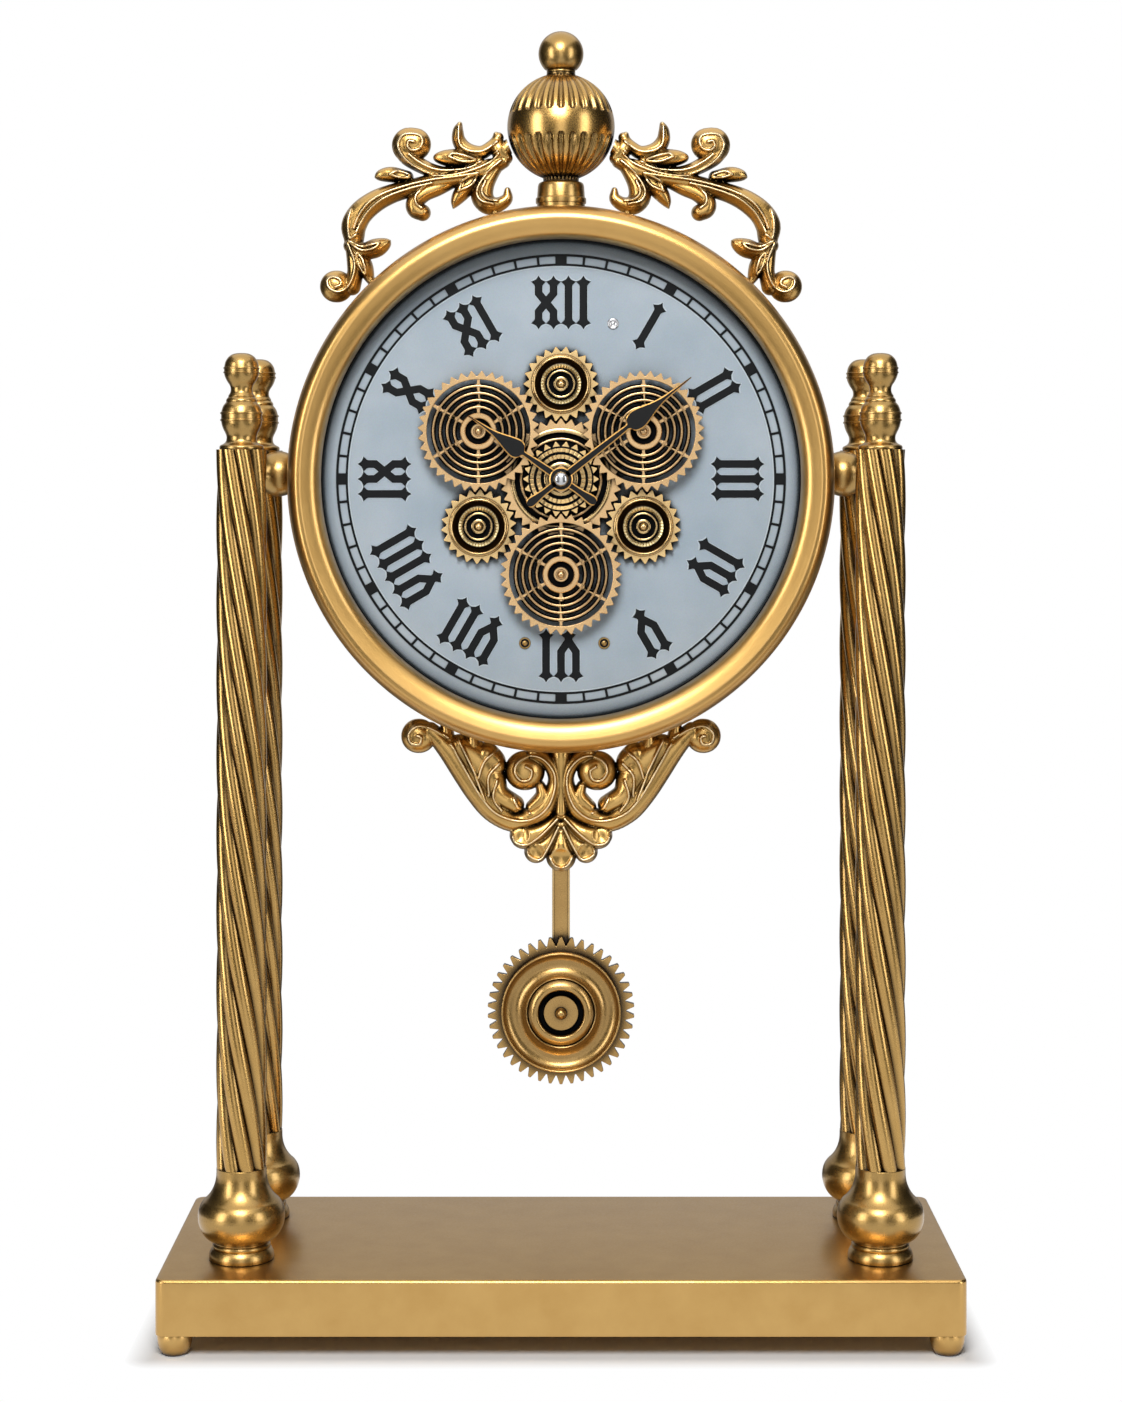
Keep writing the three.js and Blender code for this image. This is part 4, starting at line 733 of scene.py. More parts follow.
def wheel_centre(degrees):
    """Where a wheel stands round the centre wheel."""
    angle = math.radians(degrees)
    return (WHEEL_DISTANCE * math.cos(angle), 0, drum_z + WHEEL_DISTANCE * math.sin(angle))


def mesh_phase(degrees, centre_teeth, teeth):
    """Puts a gap of a wheel opposite a tooth of the centre wheel."""
    angle = math.radians(degrees)
    return angle + math.pi + angle * centre_teeth / teeth + math.pi / teeth


def wheel_piece(wheel, part, shape, finish, node=None, sharp=30, **looks):
    """A piece of a show wheel, which turns with it."""
    make_piece(f"{wheel}_{part}", shape, finish, node, sharp, body=wheel, **looks)


GRILLE_RINGS = (22.6, 19.1, 15.6, 12.1)
RING_HALF = 0.575
GROUND_HALF = 1.25
SPOKES = 6
HUB_PROFILE = (
    [(2.0, 5.2), (9.1, 5.2), (9.1, 9.2), (8.7, 9.55), (6.9, 9.55), (6.5, 9.2), (6.5, 6.8), (3.8, 6.8)]
    + [(3.8, 8.6), (3.5, 8.95), (2.7, 8.95), (2.4, 8.6), (2.0, 8.6), (2.0, 5.2)]
)


def spoke(angle, inner, outer, back, front, centre):
    """A thin bar with a small swelling where it crosses each grille ring."""
    line = [(inner, 0.75)]
    for knot in GRILLE_RINGS:
        line += [(knot - 1.3, 0.7), (knot - 0.7, 1.35), (knot + 0.7, 1.35), (knot + 1.3, 0.7)]
    line.append((outer, 0.75))
    c, s = math.cos(angle), math.sin(angle)
    outline = line + [(along, -aside) for along, aside in line[::-1]]
    outline = [(along * c - aside * s, along * s + aside * c) for along, aside in outline]
    return prism(outline, dial_front - front, dial_front - back, centre)


def grille_wheel(name, degrees):
    """A large wheel: toothed rim, ringed grille on spokes, black rings behind it as painted shade and a
    cupped hub.
    """
    centre = wheel_centre(degrees)
    phase = mesh_phase(degrees, SMALL_TEETH, LARGE_TEETH)
    rim = wheel_rim(LARGE_TEETH, LARGE_TIP, phase, 25.9, FRONT_LAYER, centre)
    wheel_piece(name, "rim", rim, bronze, name, 40, bevel=0.25)
    grille = [rounded_ring(r - RING_HALF, r + RING_HALF, 6.2, 7.9, centre, 96) for r in GRILLE_RINGS]
    for i in range(SPOKES):
        grille.append(spoke(math.radians(30 + 360 / SPOKES * i), 8.6, 26.2, 6.0, 7.5, centre))
    wheel_piece(name, "grille", merged(grille), bronze, sharp=40, bevel=0.12)
    # Painted shade: black rings behind the grille stand in for its shadow on the dial
    grounds = [rounded_ring(r - GROUND_HALF, r + GROUND_HALF, 5.3, 6.25, centre, 96) for r in GRILLE_RINGS]
    wheel_piece(name, "grounds", merged(grounds), sunk_black)
    hub = on_dial(HUB_PROFILE, centre, 64)
    wheel_piece(name, "hub", hub, bronze, second=sunk_black, paint=in_well(3.7, 6.55, 9.0, centre))


# Pale steel: the knurled rings in the cups, warmed by the lacquer over them
pale_steel = tone("lacquered_pale_steel", "#dccba0", 0.26, 0.6, 0.04, metallic=1.0)
CUP_PROFILE = (
    [(10.6, 1.4), (15.0, 1.4), (15.0, 4.3), (14.6, 4.75), (14.3, 4.9)]
    + smooth([(14.2, 5.1), (14.0, 5.9), (13.6, 6.3), (13.3, 6.2), (13.0, 5.9)], 3)
    + smooth([(12.9, 5.7), (11.9, 3.8), (10.6, 2.4)], 3)
    + [(10.6, 1.4)]
)


def cup_wheel(name, degrees):
    """A small wheel: toothed rim, rolled cup, dark ground, knurled ring, black well and two gilt rings; the
    cup's inner wall and the ground are painted dark as shade.
    """
    centre = wheel_centre(degrees)
    phase = mesh_phase(degrees, LARGE_TEETH, SMALL_TEETH)
    rim = wheel_rim(SMALL_TEETH, SMALL_TIP, phase, 13.0, REAR_LAYER, centre, land=0.12)
    wheel_piece(name, "rim", rim, bright_gold, name, 40, bevel=0.25)
    cup = on_dial(CUP_PROFILE, centre, 72)
    # Painted shade: the cup's inner wall and the ground under the knurl are dark bronze
    wheel_piece(name, "cup", cup, bright_gold, second=dark_bronze, paint=in_well(10.5, 12.96, 6.0, centre))
    wheel_piece(name, "ground", rounded_ring(2.0, 11.2, 1.1, 2.0, centre), dark_bronze)
    wheel_piece(name, "knurl", notched_ring(8.1, 10.0, 1.9, 4.3, 40, centre, 1.2), pale_steel)
    wheel_piece(name, "well", rounded_ring(3.5, 8.2, 1.9, 2.6, centre), sunk_black)
    gilt = [rounded_ring(6.1, 7.0, 2.4, 4.9, centre), rounded_ring(2.0, 3.7, 1.9, 4.9, centre)]
    wheel_piece(name, "rings", merged(gilt), bright_gold)


def post(name, degrees, back, head, finish):
    """A riveted wheel post: a shoulder on the dial, a pin and a domed head, by distances from the dial."""
    profile = [(0, 0.05), (2.6, 0.05), (2.6, back), (1.5, back), (1.5, head), (1.9, head)]
    profile += arc((0, head + 0.3), 1.9, 0, 90, 6)
    shape = on_dial(profile, wheel_centre(degrees), 32)
    make_piece(name, shape, finish, sharp=30, slot="gold_lacquer")


GRILLES = {"left": 150, "right": 30, "lower": 270}
CUPS = {"top": 90, "left": 210, "right": 330}
for side, degrees in GRILLES.items():
    grille_wheel("grille_wheel_" + side, degrees)
for side, degrees in CUPS.items():
    cup_wheel("cup_wheel_" + side, degrees)
    post("cup_post_" + side, degrees, 0.7, 5.2, bright_gold)
for side in ("left", "lower"):
    post("grille_post_" + side, GRILLES[side], 4.9, 8.4, bronze)
# The right grille wheel is driven, so its arbor turns with it and runs back through the dial
ARBOR_PROFILE = [(0, -8), (1.5, -8), (1.5, 0.3), (2.4, 0.3), (2.4, 8.4)] + arc((0, 8.4), 2.0, 0, 90, 6)
arbor = on_dial(ARBOR_PROFILE, wheel_centre(GRILLES["right"]), 32)
make_piece("grille_arbor_right", arbor, bronze, sharp=30, body="grille_wheel_right")


def centre_piece(part, shape, finish, node=None, sharp=30, slot="bronze_lacquer", bevel=0.0):
    """A piece of the centre wheel, which turns with it."""
    make_piece("centre_" + part, shape, finish, node, sharp, bevel, body="centre_wheel", slot=slot)


rear_rim = wheel_rim(LARGE_TEETH, LARGE_TIP, 0, 24.9, REAR_LAYER, DRUM)
centre_piece("rear_rim", rear_rim, bronze, "centre_wheel", 40, bevel=0.25)
centre_piece("rim_bead", rounded_ring(23.2, 25.4, 1.6, 4.9, DRUM, 96), bright_gold)
# The web and front ground are black, as paint and as painted shade between the rings
centre_piece("web", rounded_ring(5.6, 23.6, 1.2, 2.1, DRUM, 96), sunk_black, slot="black_paint")
centre_piece("second_ring", rounded_ring(19.4, 20.6, 2.0, 3.6, DRUM, 96), bronze)
front_rim = wheel_rim(SMALL_TEETH, SMALL_TIP, 0, 11.0, FRONT_LAYER, DRUM, land=0.12)
centre_piece("front_rim", front_rim, bright_gold, sharp=40, bevel=0.25)
centre_piece("front_ground", rounded_ring(8.6, 16.3, 8.0, 8.4, DRUM, 96), sunk_black, slot="black_paint")
steps = [
    notched_ring(13.6, 15.4, 8.1, 9.2, 40, DRUM, 0.2),
    notched_ring(10.2, 12.2, 4.6, 9.3, 32, DRUM, 0.2),
    rounded_ring(5.6, 8.6, 1.9, 9.5, DRUM, 96),
]
centre_piece("steps", merged(steps), bright_gold)

# Movement: a moulded black box behind the dial with a brass bushing nut in front, a dry cell in its trough
# and a ribbed setting knob; a second box beside it drives the show wheels. Boxes keep the CAD solids.
# Moulded plastic is dull with a fine grain; the cell's sleeve is smooth grey print
black_plastic = tone("moulded_black_plastic", "#1d1e20", 0.5, 0.8, 0.2)
wrap_print = tone("cell_sleeve", "#5d6570", 0.35, 4.0, 0.05)
CONTACT_HALF = 4.4
dress("movement_case", black_plastic, 0.6)
dress("drive_unit", black_plastic, 0.6)
dress("bushing_nut", bronze, 0.3)
for node in ("movement_cell", "drive_cell"):
    low, high, middle = node_box(node)
    half, r = (high[0] - low[0]) / 2, (high[2] - low[2]) / 2
    crimp = [(0, -half), (r * 0.6, -half), (r * 0.6, -half + 0.3), (r - 0.5, -half + 0.3), (r, -half + 0.9)]
    cap = [(r, half - 2.2), (r - 0.5, half - 1.5), (2.9, half - 1.5), (2.7, half - 0.2)]
    cap += [(2.4, half), (0, half)]

    def on_ends(point, normal, middle=middle, r=r):
        """Picks the bare steel ends of the cell."""
        return math.hypot(point[1] - middle[1], point[2] - middle[2]) < r * 0.85

    cell = turned(crimp + cap, "x", tuple(middle), 40)
    name = node.replace("cell", "dry_cell")
    make_piece(name, cell, wrap_print, node, 30, second=bright_steel, paint=on_ends)
    contacts = []
    for end in (-1, 1):
        plate = []
        for x in (0.02, 0.26):
            corners = ((-1, -1), (1, -1), (1, 1), (-1, 1))
            offsets = [(end * (half + x), CONTACT_HALF * b, CONTACT_HALF * c) for b, c in corners]
            plate.append([tuple(middle + offset) for offset in np.array(offsets)])
        contacts.append(skin(plate))
    make_piece(node.replace("cell", "contacts"), merged(contacts), bright_steel)

low, high, middle = node_box("set_knob")
knob_face, knob_back = high[1], high[1] - 4.0
knob_centre = (middle[0], 0, middle[2])
knob_profile = [(0, low[1]), (1.9, low[1]), (1.9, knob_back), (3.5, knob_back), (3.5, knob_face - 0.9)]
knob_profile += [(2.8, knob_face - 1.1), (0, knob_face - 1.3)]
RIBS, RIB_TIP, RIB_DEPTH, RIB_INNER, RIB_LAND = 30, 6.45, 0.4, 3.4, 0.4
ribs = toothed_ring(
    RIBS, RIB_TIP, RIB_DEPTH, 0, RIB_INNER, knob_face - 0.3, knob_back, knob_centre, RIB_LAND
)
knob = merged([ribs, turned(knob_profile, "y", knob_centre, 40)])
make_piece("ribbed_knob", knob, black_plastic, "set_knob", bevel=0.2, body="set_knob")

# Hands: flat black spades with gilt edges, the hour hand on its pipe and the minute hand on its arbor,
# held by a domed steel nut. Outlines are half widths along the hand, mirrored.
# The gilt edge is a thin bright line round a black face with little sheen
gilt_edge = lacquer("gilt_edge", "#d9a860", "#c8964c", "#5a3a0e", 0.28)
hand_black = tone("hand_black", "#0f1011", 0.4, 1.2, 0.06, specular=0.2)
TAIL = [(-21, 0.05), (-20.8, 1.5), (-19.4, 2.4), (-17.0, 2.4), (-12.0, 1.8), (-6.0, 1.7), (0, 2.0)]
MINUTE_LINE = (
    smooth(TAIL + [(9, 2.0), (24, 1.8), (37, 1.5), (41.6, 1.3)], 4)
    + smooth([(41.6, 1.3), (42.8, 1.9), (43.6, 3.4), (45.0, 4.5), (48.4, 5.15), (52.6, 4.3), (58, 2.6)], 4)
    + smooth([(58, 2.6), (64, 1.4), (71, 0.9), (82, 0.3)], 4)
)
HOUR_LINE = (
    smooth(TAIL + [(7, 1.9), (14, 1.7), (20.5, 1.35), (22.4, 1.3)], 4)
    + smooth([(22.4, 1.3), (23.2, 2.0), (24.0, 3.5), (25.4, 4.5), (27.4, 4.85), (31, 4.1), (36, 2.6)], 4)
    + smooth([(36, 2.6), (41, 1.4), (46, 0.95), (56, 0.3)], 4)
)
HAND_BOSS = 5.8
HAND_THICKNESS = 0.8
HAND_SPACING = 1.8
PIPE_WALL = 1
CHAMFER_DEPTH, CHAMFER_WIDTH = 0.3, 0.55


def hand(name, line, degrees, front, bore):
    """A plate with a narrow gilt chamfer round its black face, on a pipe or arbor."""
    back, pipe_back = front + HAND_THICKNESS, node_box(name)[1][1]
    loops = []
    for shrink, y in ((0, back), (0, front + CHAMFER_DEPTH), (CHAMFER_WIDTH, front)):
        sides = [(max(half - min(shrink, half * 0.55), 0.02), along) for along, half in line]
        outline = radial(sides + [(-half, along) for half, along in sides[::-1]], math.radians(degrees))
        loops.append([(x, y, drum_z + z) for x, z in outline])
    boss = [(bore, back), (HAND_BOSS, back), (HAND_BOSS, front + CHAMFER_DEPTH), (HAND_BOSS - 0.5, front)]
    boss += [(bore, front), (bore, back)]
    pipe = band(bore, bore + PIPE_WALL, pipe_back, back)
    shape = merged([skin(loops), turned(boss, "y", DRUM, 48), turned(pipe, "y", DRUM, 32)])
    make_piece(
        name + "_plate", shape, gilt_edge, name, 20, body=name,
        second=hand_black, paint=lambda point, normal: abs(normal[1]) > 0.95,
    )


HOUR_ANGLE, MINUTE_ANGLE = 304.33, 52
HOUR_BORE, MINUTE_BORE = 2.0, 0.55
hour_front = node_box("hour_hand")[0][1]
hand("hour_hand", HOUR_LINE, HOUR_ANGLE, hour_front, HOUR_BORE)
hand("minute_hand", MINUTE_LINE, MINUTE_ANGLE, hour_front - HAND_SPACING, MINUTE_BORE)
NUT_RADIUS = 3.75
nut_low, nut_high, _ = node_box("hand_nut")
nut_front, nut_back = nut_low[1], nut_high[1]
nut_profile = [(0, nut_back), (NUT_RADIUS, nut_back), (NUT_RADIUS, nut_back - 0.5)]
nut_dome = [(NUT_RADIUS, nut_back - 0.5), (3.6, -29.9), (2.9, -30.9), (1.7, -31.5), (0, nut_front)]
nut = turned(nut_profile + smooth(nut_dome, 5), "y", DRUM, 48)
make_piece("domed_nut", nut, bright_steel, "hand_nut", 30, body="minute_hand")

# Pendulum: a lacquered strip with raised borders hung on the movement's pin, and a pressed bob of a toothed
# disc, a rolled dish and a flat cap with a pin, all on the strip's lower end.
# Aged gold is a deeper brown than the stand, with a strong painted shade in its hollows
aged_gold = lacquer("aged_gold_lacquer", "#b8955b", "#a17e48", "#180d03", 0.29, bump=0.03, creases=(0.6, 1.0))
rod_low, rod_high, _ = node_box("pendulum_rod")
rod_front, rod_back = rod_low[1], rod_high[1]
ROD_HALF, BORDER, SUNK, BREAK = 4.5, 0.8, 0.35, 0.15
EYE_BORE = 1.9
pivot_z = rod_high[2] - ROD_HALF
section = [(-ROD_HALF, rod_back), (-ROD_HALF, rod_front + BREAK), (-ROD_HALF + BREAK, rod_front)]
section += [(-ROD_HALF + BORDER, rod_front), (-ROD_HALF + BORDER + BREAK, rod_front + SUNK)]
section += [(-x, y) for x, y in section[::-1]]
strip = skin([[(x, y, z) for x, y in section] for z in (rod_low[2], pivot_z - 4)])
eye = [(EYE_BORE, rod_front), (4.4, rod_front), (ROD_HALF, rod_front + 0.1), (ROD_HALF, rod_back)]
eye += [(EYE_BORE, rod_back), (EYE_BORE, rod_front)]
make_piece(
    "pendulum_strip", merged([strip, turned(eye, "y", (0, 0, pivot_z), 40)]), aged_gold, "pendulum_rod", 25,
    body="pendulum", second=bright_gold, paint=lambda point, normal: point[1] < rod_front + 0.05,
)

bob_low, bob_high, bob_middle = node_box("bob_gear")
bob_centre = (0, 0, bob_middle[2])
BOB_TEETH, BOB_TIP, BOB_TOOTH, BOB_BORE, BOB_LAND = 42, 37.3, 4.3, 2.5, 0.24
bob_wheel = toothed_ring(
    BOB_TEETH, BOB_TIP, BOB_TOOTH, math.pi / 2, BOB_BORE, bob_low[1], bob_high[1], bob_centre, BOB_LAND
)
# Painted shade: the flanks of the teeth take the dark bronze
make_piece(
    "bob_wheel", bob_wheel, aged_gold, "bob_gear", bevel=0.5, body="pendulum", slot="bronze_lacquer",
    second=dark_bronze, paint=lambda point, normal: abs(normal[1]) < 0.3,
)
GROOVE_EDGE = 11.04
DISH_PROFILE = (
    [(9.25, 0), (30.4, 0), (30.4, 4.2)]
    + smooth([(30.4, 4.2), (30.2, 4.8), (29.7, 5.0), (29.2, 4.6)], 3)
    + smooth([(29.0, 4.0), (28.2, 2.8), (26.6, 1.6), (24.4, 1.0), (22.2, 1.2), (20.2, 2.3), (18.7, 3.8)], 4)
    + [(18.1, 4.5)]
    + smooth([(18.0, 4.9), (17.6, 5.3), (17.1, 5.0)], 3)
    + smooth([(17.0, 4.5), (16.0, 5.5), (14.6, 6.5), (13.2, 6.9), (12.0, 6.6), (11.3, 5.6)], 4)
    + [(11.05, 4.8), (11.0, 2.6), (9.25, 2.4), (9.25, 0)]
)
CAP_PROFILE = [(0, 0), (9, 0), (9, 4.9), (8.6, 5.4), (3.2, 5.4), (3.1, 5.2), (2.9, 5.2), (2.8, 6.4)]
CAP_PROFILE += arc((0, 6.2), 2.4, 20, 90, 6)
dish_back = node_box("bob_dish")[1][1]
dish, cap = (
    turned([(radius, dish_back - rise) for radius, rise in profile], "y", bob_centre, rounds)
    for profile, rounds in ((DISH_PROFILE, 120), (CAP_PROFILE, 64))
)
make_piece(
    "bob_rolled_dish", dish, aged_gold, "bob_dish", 35, body="pendulum", second=sunk_black,
    paint=lambda point, normal: math.hypot(point[0], point[2] - bob_centre[2]) < GROOVE_EDGE,
)
make_piece("bob_flat_cap", cap, aged_gold, "bob_cap", 30, body="pendulum")

# Top ornament: a turned collar saddled on the case, a fluted globe and a ball knob, drawn together by a stud.
# The collar's foot is bent to the case, and the globe's flutes stop short of its plain belt.
STUD_ROOM = 2.9
COLLAR_PROFILE = (
    [(STUD_ROOM, 130.5), (12.1, 130.5), (12.1, 139.2), (12.7, 139.4), (12.8, 140.0), (12.75, 141.8)]
    + [(12.5, 142.2), (12.1, 142.4), (11.7, 148.0)]
    + smooth([(11.7, 148.0), (11.3, 149.3), (10.5, 150.0), (9.7, 150.2)], 3)
    + [(9.3, 150.3), (9.2, 150.5), (STUD_ROOM, 150.5), (STUD_ROOM, 130.5)]
)
collar_points, collar_faces = turned(COLLAR_PROFILE, "z", DRUM, 64)
saddle = case_radius + 0.3
collar_points = [(x, y, max(z, drum_z + math.sqrt(saddle**2 - x**2))) for x, y, z in collar_points]
make_piece("collar", (collar_points, collar_faces), cast_gold, "finial_collar", 30)

globe_low, globe_high, globe_middle = node_box("finial_globe")
globe_z = globe_middle[2]
globe_radius = (globe_high[2] - globe_low[2]) / 2
FLUTES = 28
FLUTE_DEPTH = 1.5
FLUTE_END = 2.2
BELT_LOW, BELT_HIGH = -5.0, 6.2
GLOBE_FOOT, GLOBE_TOP = 9.0, 7.3


def flute_share(z, across):
    """How deep a flute is at a height and at a place across it (0 in its middle, 1 on the rib)."""
    beyond = max(z - BELT_HIGH, BELT_LOW - z) / FLUTE_END
    if beyond <= 0:
        return 0.0
    room = 0.56 * math.sqrt(min(1.0, beyond * (2 - min(beyond, 1.0))))
    return max(0.0, 1 - (across / room) ** 2) ** 0.6


def fluted_globe():
    """A bored ball with round-ended flutes above and below its belt."""
    per_flute = 12
    rounds = FLUTES * per_flute
    heights = np.concatenate([
        np.linspace(-globe_radius * 0.943, BELT_LOW - 2.5, 40),
        np.linspace(BELT_LOW - 2.4, BELT_LOW, 12),
        np.linspace(BELT_LOW + 1, BELT_HIGH - 1, 8),
        np.linspace(BELT_HIGH, BELT_HIGH + 2.4, 12),
        globe_radius * np.sin(np.radians(np.linspace(19, 74.5, 44))),
    ])
    loops = []
    for z in [-globe_radius, *heights, globe_radius]:
        radius = max(math.sqrt(max(globe_radius**2 - z**2, 0)), GLOBE_FOOT if z < 0 else GLOBE_TOP)
        loop = []
        for i in range(rounds):
            angle = 2 * math.pi * (i + per_flute / 2) / rounds - math.pi / 2
            across = abs((i / per_flute) % 1 - 0.5) * 2
            depth = FLUTE_DEPTH * flute_share(z, across) * min(1, radius / 16)
            r = radius - (depth if abs(z) < globe_radius * 0.96 else 0)
            loop.append((r * math.cos(angle), r * math.sin(angle), globe_z + z))
        loops.append(loop)
    bore = [(STUD_ROOM, globe_z + globe_radius), (STUD_ROOM, globe_z - globe_radius)]
    bore = turned(bore, "z", rounds=rounds)[0]
    return skin(loops + [bore[:rounds], bore[rounds:]], ring=True)


make_piece("fluted_globe", fluted_globe(), deep_gold, "finial_globe", 50)

knob_low, knob_high, _ = node_box("finial_knob")
KNOB_RADIUS = 11.4
knob_z, knob_bottom = knob_high[2] - KNOB_RADIUS, knob_low[2]
KNOB_FOOT = [(7.0, 0), (7.3, 0.4), (7.2, 1.0), (6.9, 1.3)]
knob_profile = [(0, knob_z + 0.3), (STUD_ROOM, knob_z + 0.3), (STUD_ROOM, knob_bottom), (7.0, knob_bottom)]
knob_profile += smooth([(radius, knob_bottom + rise) for radius, rise in KNOB_FOOT], 3)
knob_profile += [p for p in arc((0, knob_z), KNOB_RADIUS, -44, 90, 30) if p[1] > knob_bottom + 1.5]
make_piece("ball_knob", turned(knob_profile, "z", rounds=64), cast_gold, "finial_knob", 30)
dress("finial_stud", bright_steel, 0.3)

# Cast scrollwork: crest scrolls beside the globe and a bracket under the drum, one casting each.
# A casting is a relief over limbs with sloped sides, under thin raised lines, cut along the limbs' outline.
# Burnished gold: thin raised lines are painted pale, as rubbed metal and as a painted highlight, and the
# hollows get a painted brown shade
scroll_gold = lacquer(
    "burnished_highlit_gold_lacquer", "#d0a966", "#bb924c", "#140a02", 0.3,
    bump=0.02, creases=(0.35, 0.9), rubbed_highlight="#fff0c8",
)
ORNAMENT_BACK = -2.0
ORNAMENT_DEPTH = 10.0
RIM_HEIGHT = 2.0
RIDGE_HALF = 0.95
RIDGE_RISE = 1.5
GRID = 0.35
CASE_CLEARANCE, GLOBE_CLEARANCE = 0.35, 0.9


def measured(route, xs, zs):
    """Distance to a route of (x, z, half width) points as a share of its half width there, and that width."""
    nearest, width = np.full((len(xs), len(zs)), 9.0), np.ones((len(xs), len(zs)))
    for a, b in zip(route, route[1:]):
        reach = 1.6 * max(a[2], b[2]) + 1
        i0, i1 = np.searchsorted(xs, (min(a[0], b[0]) - reach, max(a[0], b[0]) + reach))
        j0, j1 = np.searchsorted(zs, (min(a[1], b[1]) - reach, max(a[1], b[1]) + reach))
        gx, gz = np.meshgrid(xs[i0:i1], zs[j0:j1], indexing="ij")
        step = (b - a)[:2]
        share = np.clip(((gx - a[0]) * step[0] + (gz - a[1]) * step[1]) / max(step @ step, 1e-9), 0, 1)
        half = a[2] + share * (b[2] - a[2])
        ratio = np.hypot(gx - a[0] - share * step[0], gz - a[1] - share * step[1]) / half
        window = np.s_[i0:i1, j0:j1]
        width[window] = np.where(ratio < nearest[window], half, width[window])
        nearest[window] = np.minimum(ratio, nearest[window])
    return nearest, width


def relief(limbs, ridges, hollows, xs, zs):
    """Signed inset from the outline, and how far the front stands before the back, over a grid."""
    inset, front = np.full((len(xs), len(zs)), -9.0), np.zeros((len(xs), len(zs)))
    for limb in limbs:
        nearest, width = measured(np.array(smooth(limb, 5)), xs, zs)
        tall = (ORNAMENT_DEPTH - RIM_HEIGHT - RIDGE_RISE) * np.clip(0.35 + width / 8, 0, 1)
        front = np.maximum(front, tall * (1 - np.clip(nearest, 0, 1) ** 2.6) ** 0.75)
        inset = np.maximum(inset, (1 - nearest) * width)
    line = np.zeros_like(front)
    for ridge in ridges:
        route = np.array([(x, z, RIDGE_HALF) for x, z in smooth(ridge, 5)])
        line = np.maximum(line, 1 - measured(route, xs, zs)[0] ** 2)
    front += RIDGE_RISE * line
    gx, gz = np.meshgrid(xs, zs, indexing="ij")
    for x, z, radius in hollows:
        front -= 0.5 * radius * np.clip(1 - ((gx - x) ** 2 + (gz - z) ** 2) / radius**2, 0, 1)
    return inset, RIM_HEIGHT + np.clip(front, 0, ORNAMENT_DEPTH - RIM_HEIGHT)


def casting(limbs, ridges, hollows):
    """Closed mesh of a relief with a flat back, kept clear of the case and the globe."""
    spread = np.array([point for limb in limbs for point in limb])
    low, high = spread[:, :2].min(0) - 10, spread[:, :2].max(0) + 10
    xs, zs = (np.arange(low[i], high[i], GRID) for i in (0, 1))
    inset, front = relief(limbs, ridges, hollows, xs, zs)
    gx, gz = np.meshgrid(xs, zs, indexing="ij")
    inset = np.minimum(inset, np.hypot(gx, gz) - case_radius - CASE_CLEARANCE)
    inset = np.minimum(inset, np.hypot(gx, gz - (globe_z - drum_z)) - globe_radius - GLOBE_CLEARANCE)
    points, faces, index = [], [], {}

    def corner(key, x, z, rise):
        """The number of a front point, with its back point after it, made when first asked for."""
        if key not in index:
            index[key] = len(points)
            points.append((x, ORNAMENT_BACK - rise, drum_z + z))
            points.append((x, ORNAMENT_BACK, drum_z + z))
        return index[key]

    kept = inset > 0
    around = ((0, 0), (1, 0), (1, 1), (0, 1))
    for i, j in np.argwhere(kept[:-1, :-1] | kept[1:, :-1] | kept[:-1, 1:] | kept[1:, 1:]):
        loop, cuts = [], []
        for (ai, aj), (bi, bj) in zip(around, around[1:] + around[:1]):
            a, b = (i + ai, j + aj), (i + bi, j + bj)
            if kept[a]:
                loop.append(corner(a, xs[a[0]], zs[a[1]], front[a]))
            if kept[a] != kept[b]:
                share = inset[a] / (inset[a] - inset[b])
                x = xs[a[0]] + share * (xs[b[0]] - xs[a[0]])
                z = zs[a[1]] + share * (zs[b[1]] - zs[a[1]])
                if kept[a]:
                    cuts.append(len(loop))
                loop.append(corner((min(a, b), max(a, b)), x, z, RIM_HEIGHT))
        faces += [tuple(loop), tuple(k + 1 for k in loop[::-1])]
        for at in cuts:
            here, after = loop[at], loop[(at + 1) % len(loop)]
            faces.append((here, here + 1, after + 1, after))
    return points, faces


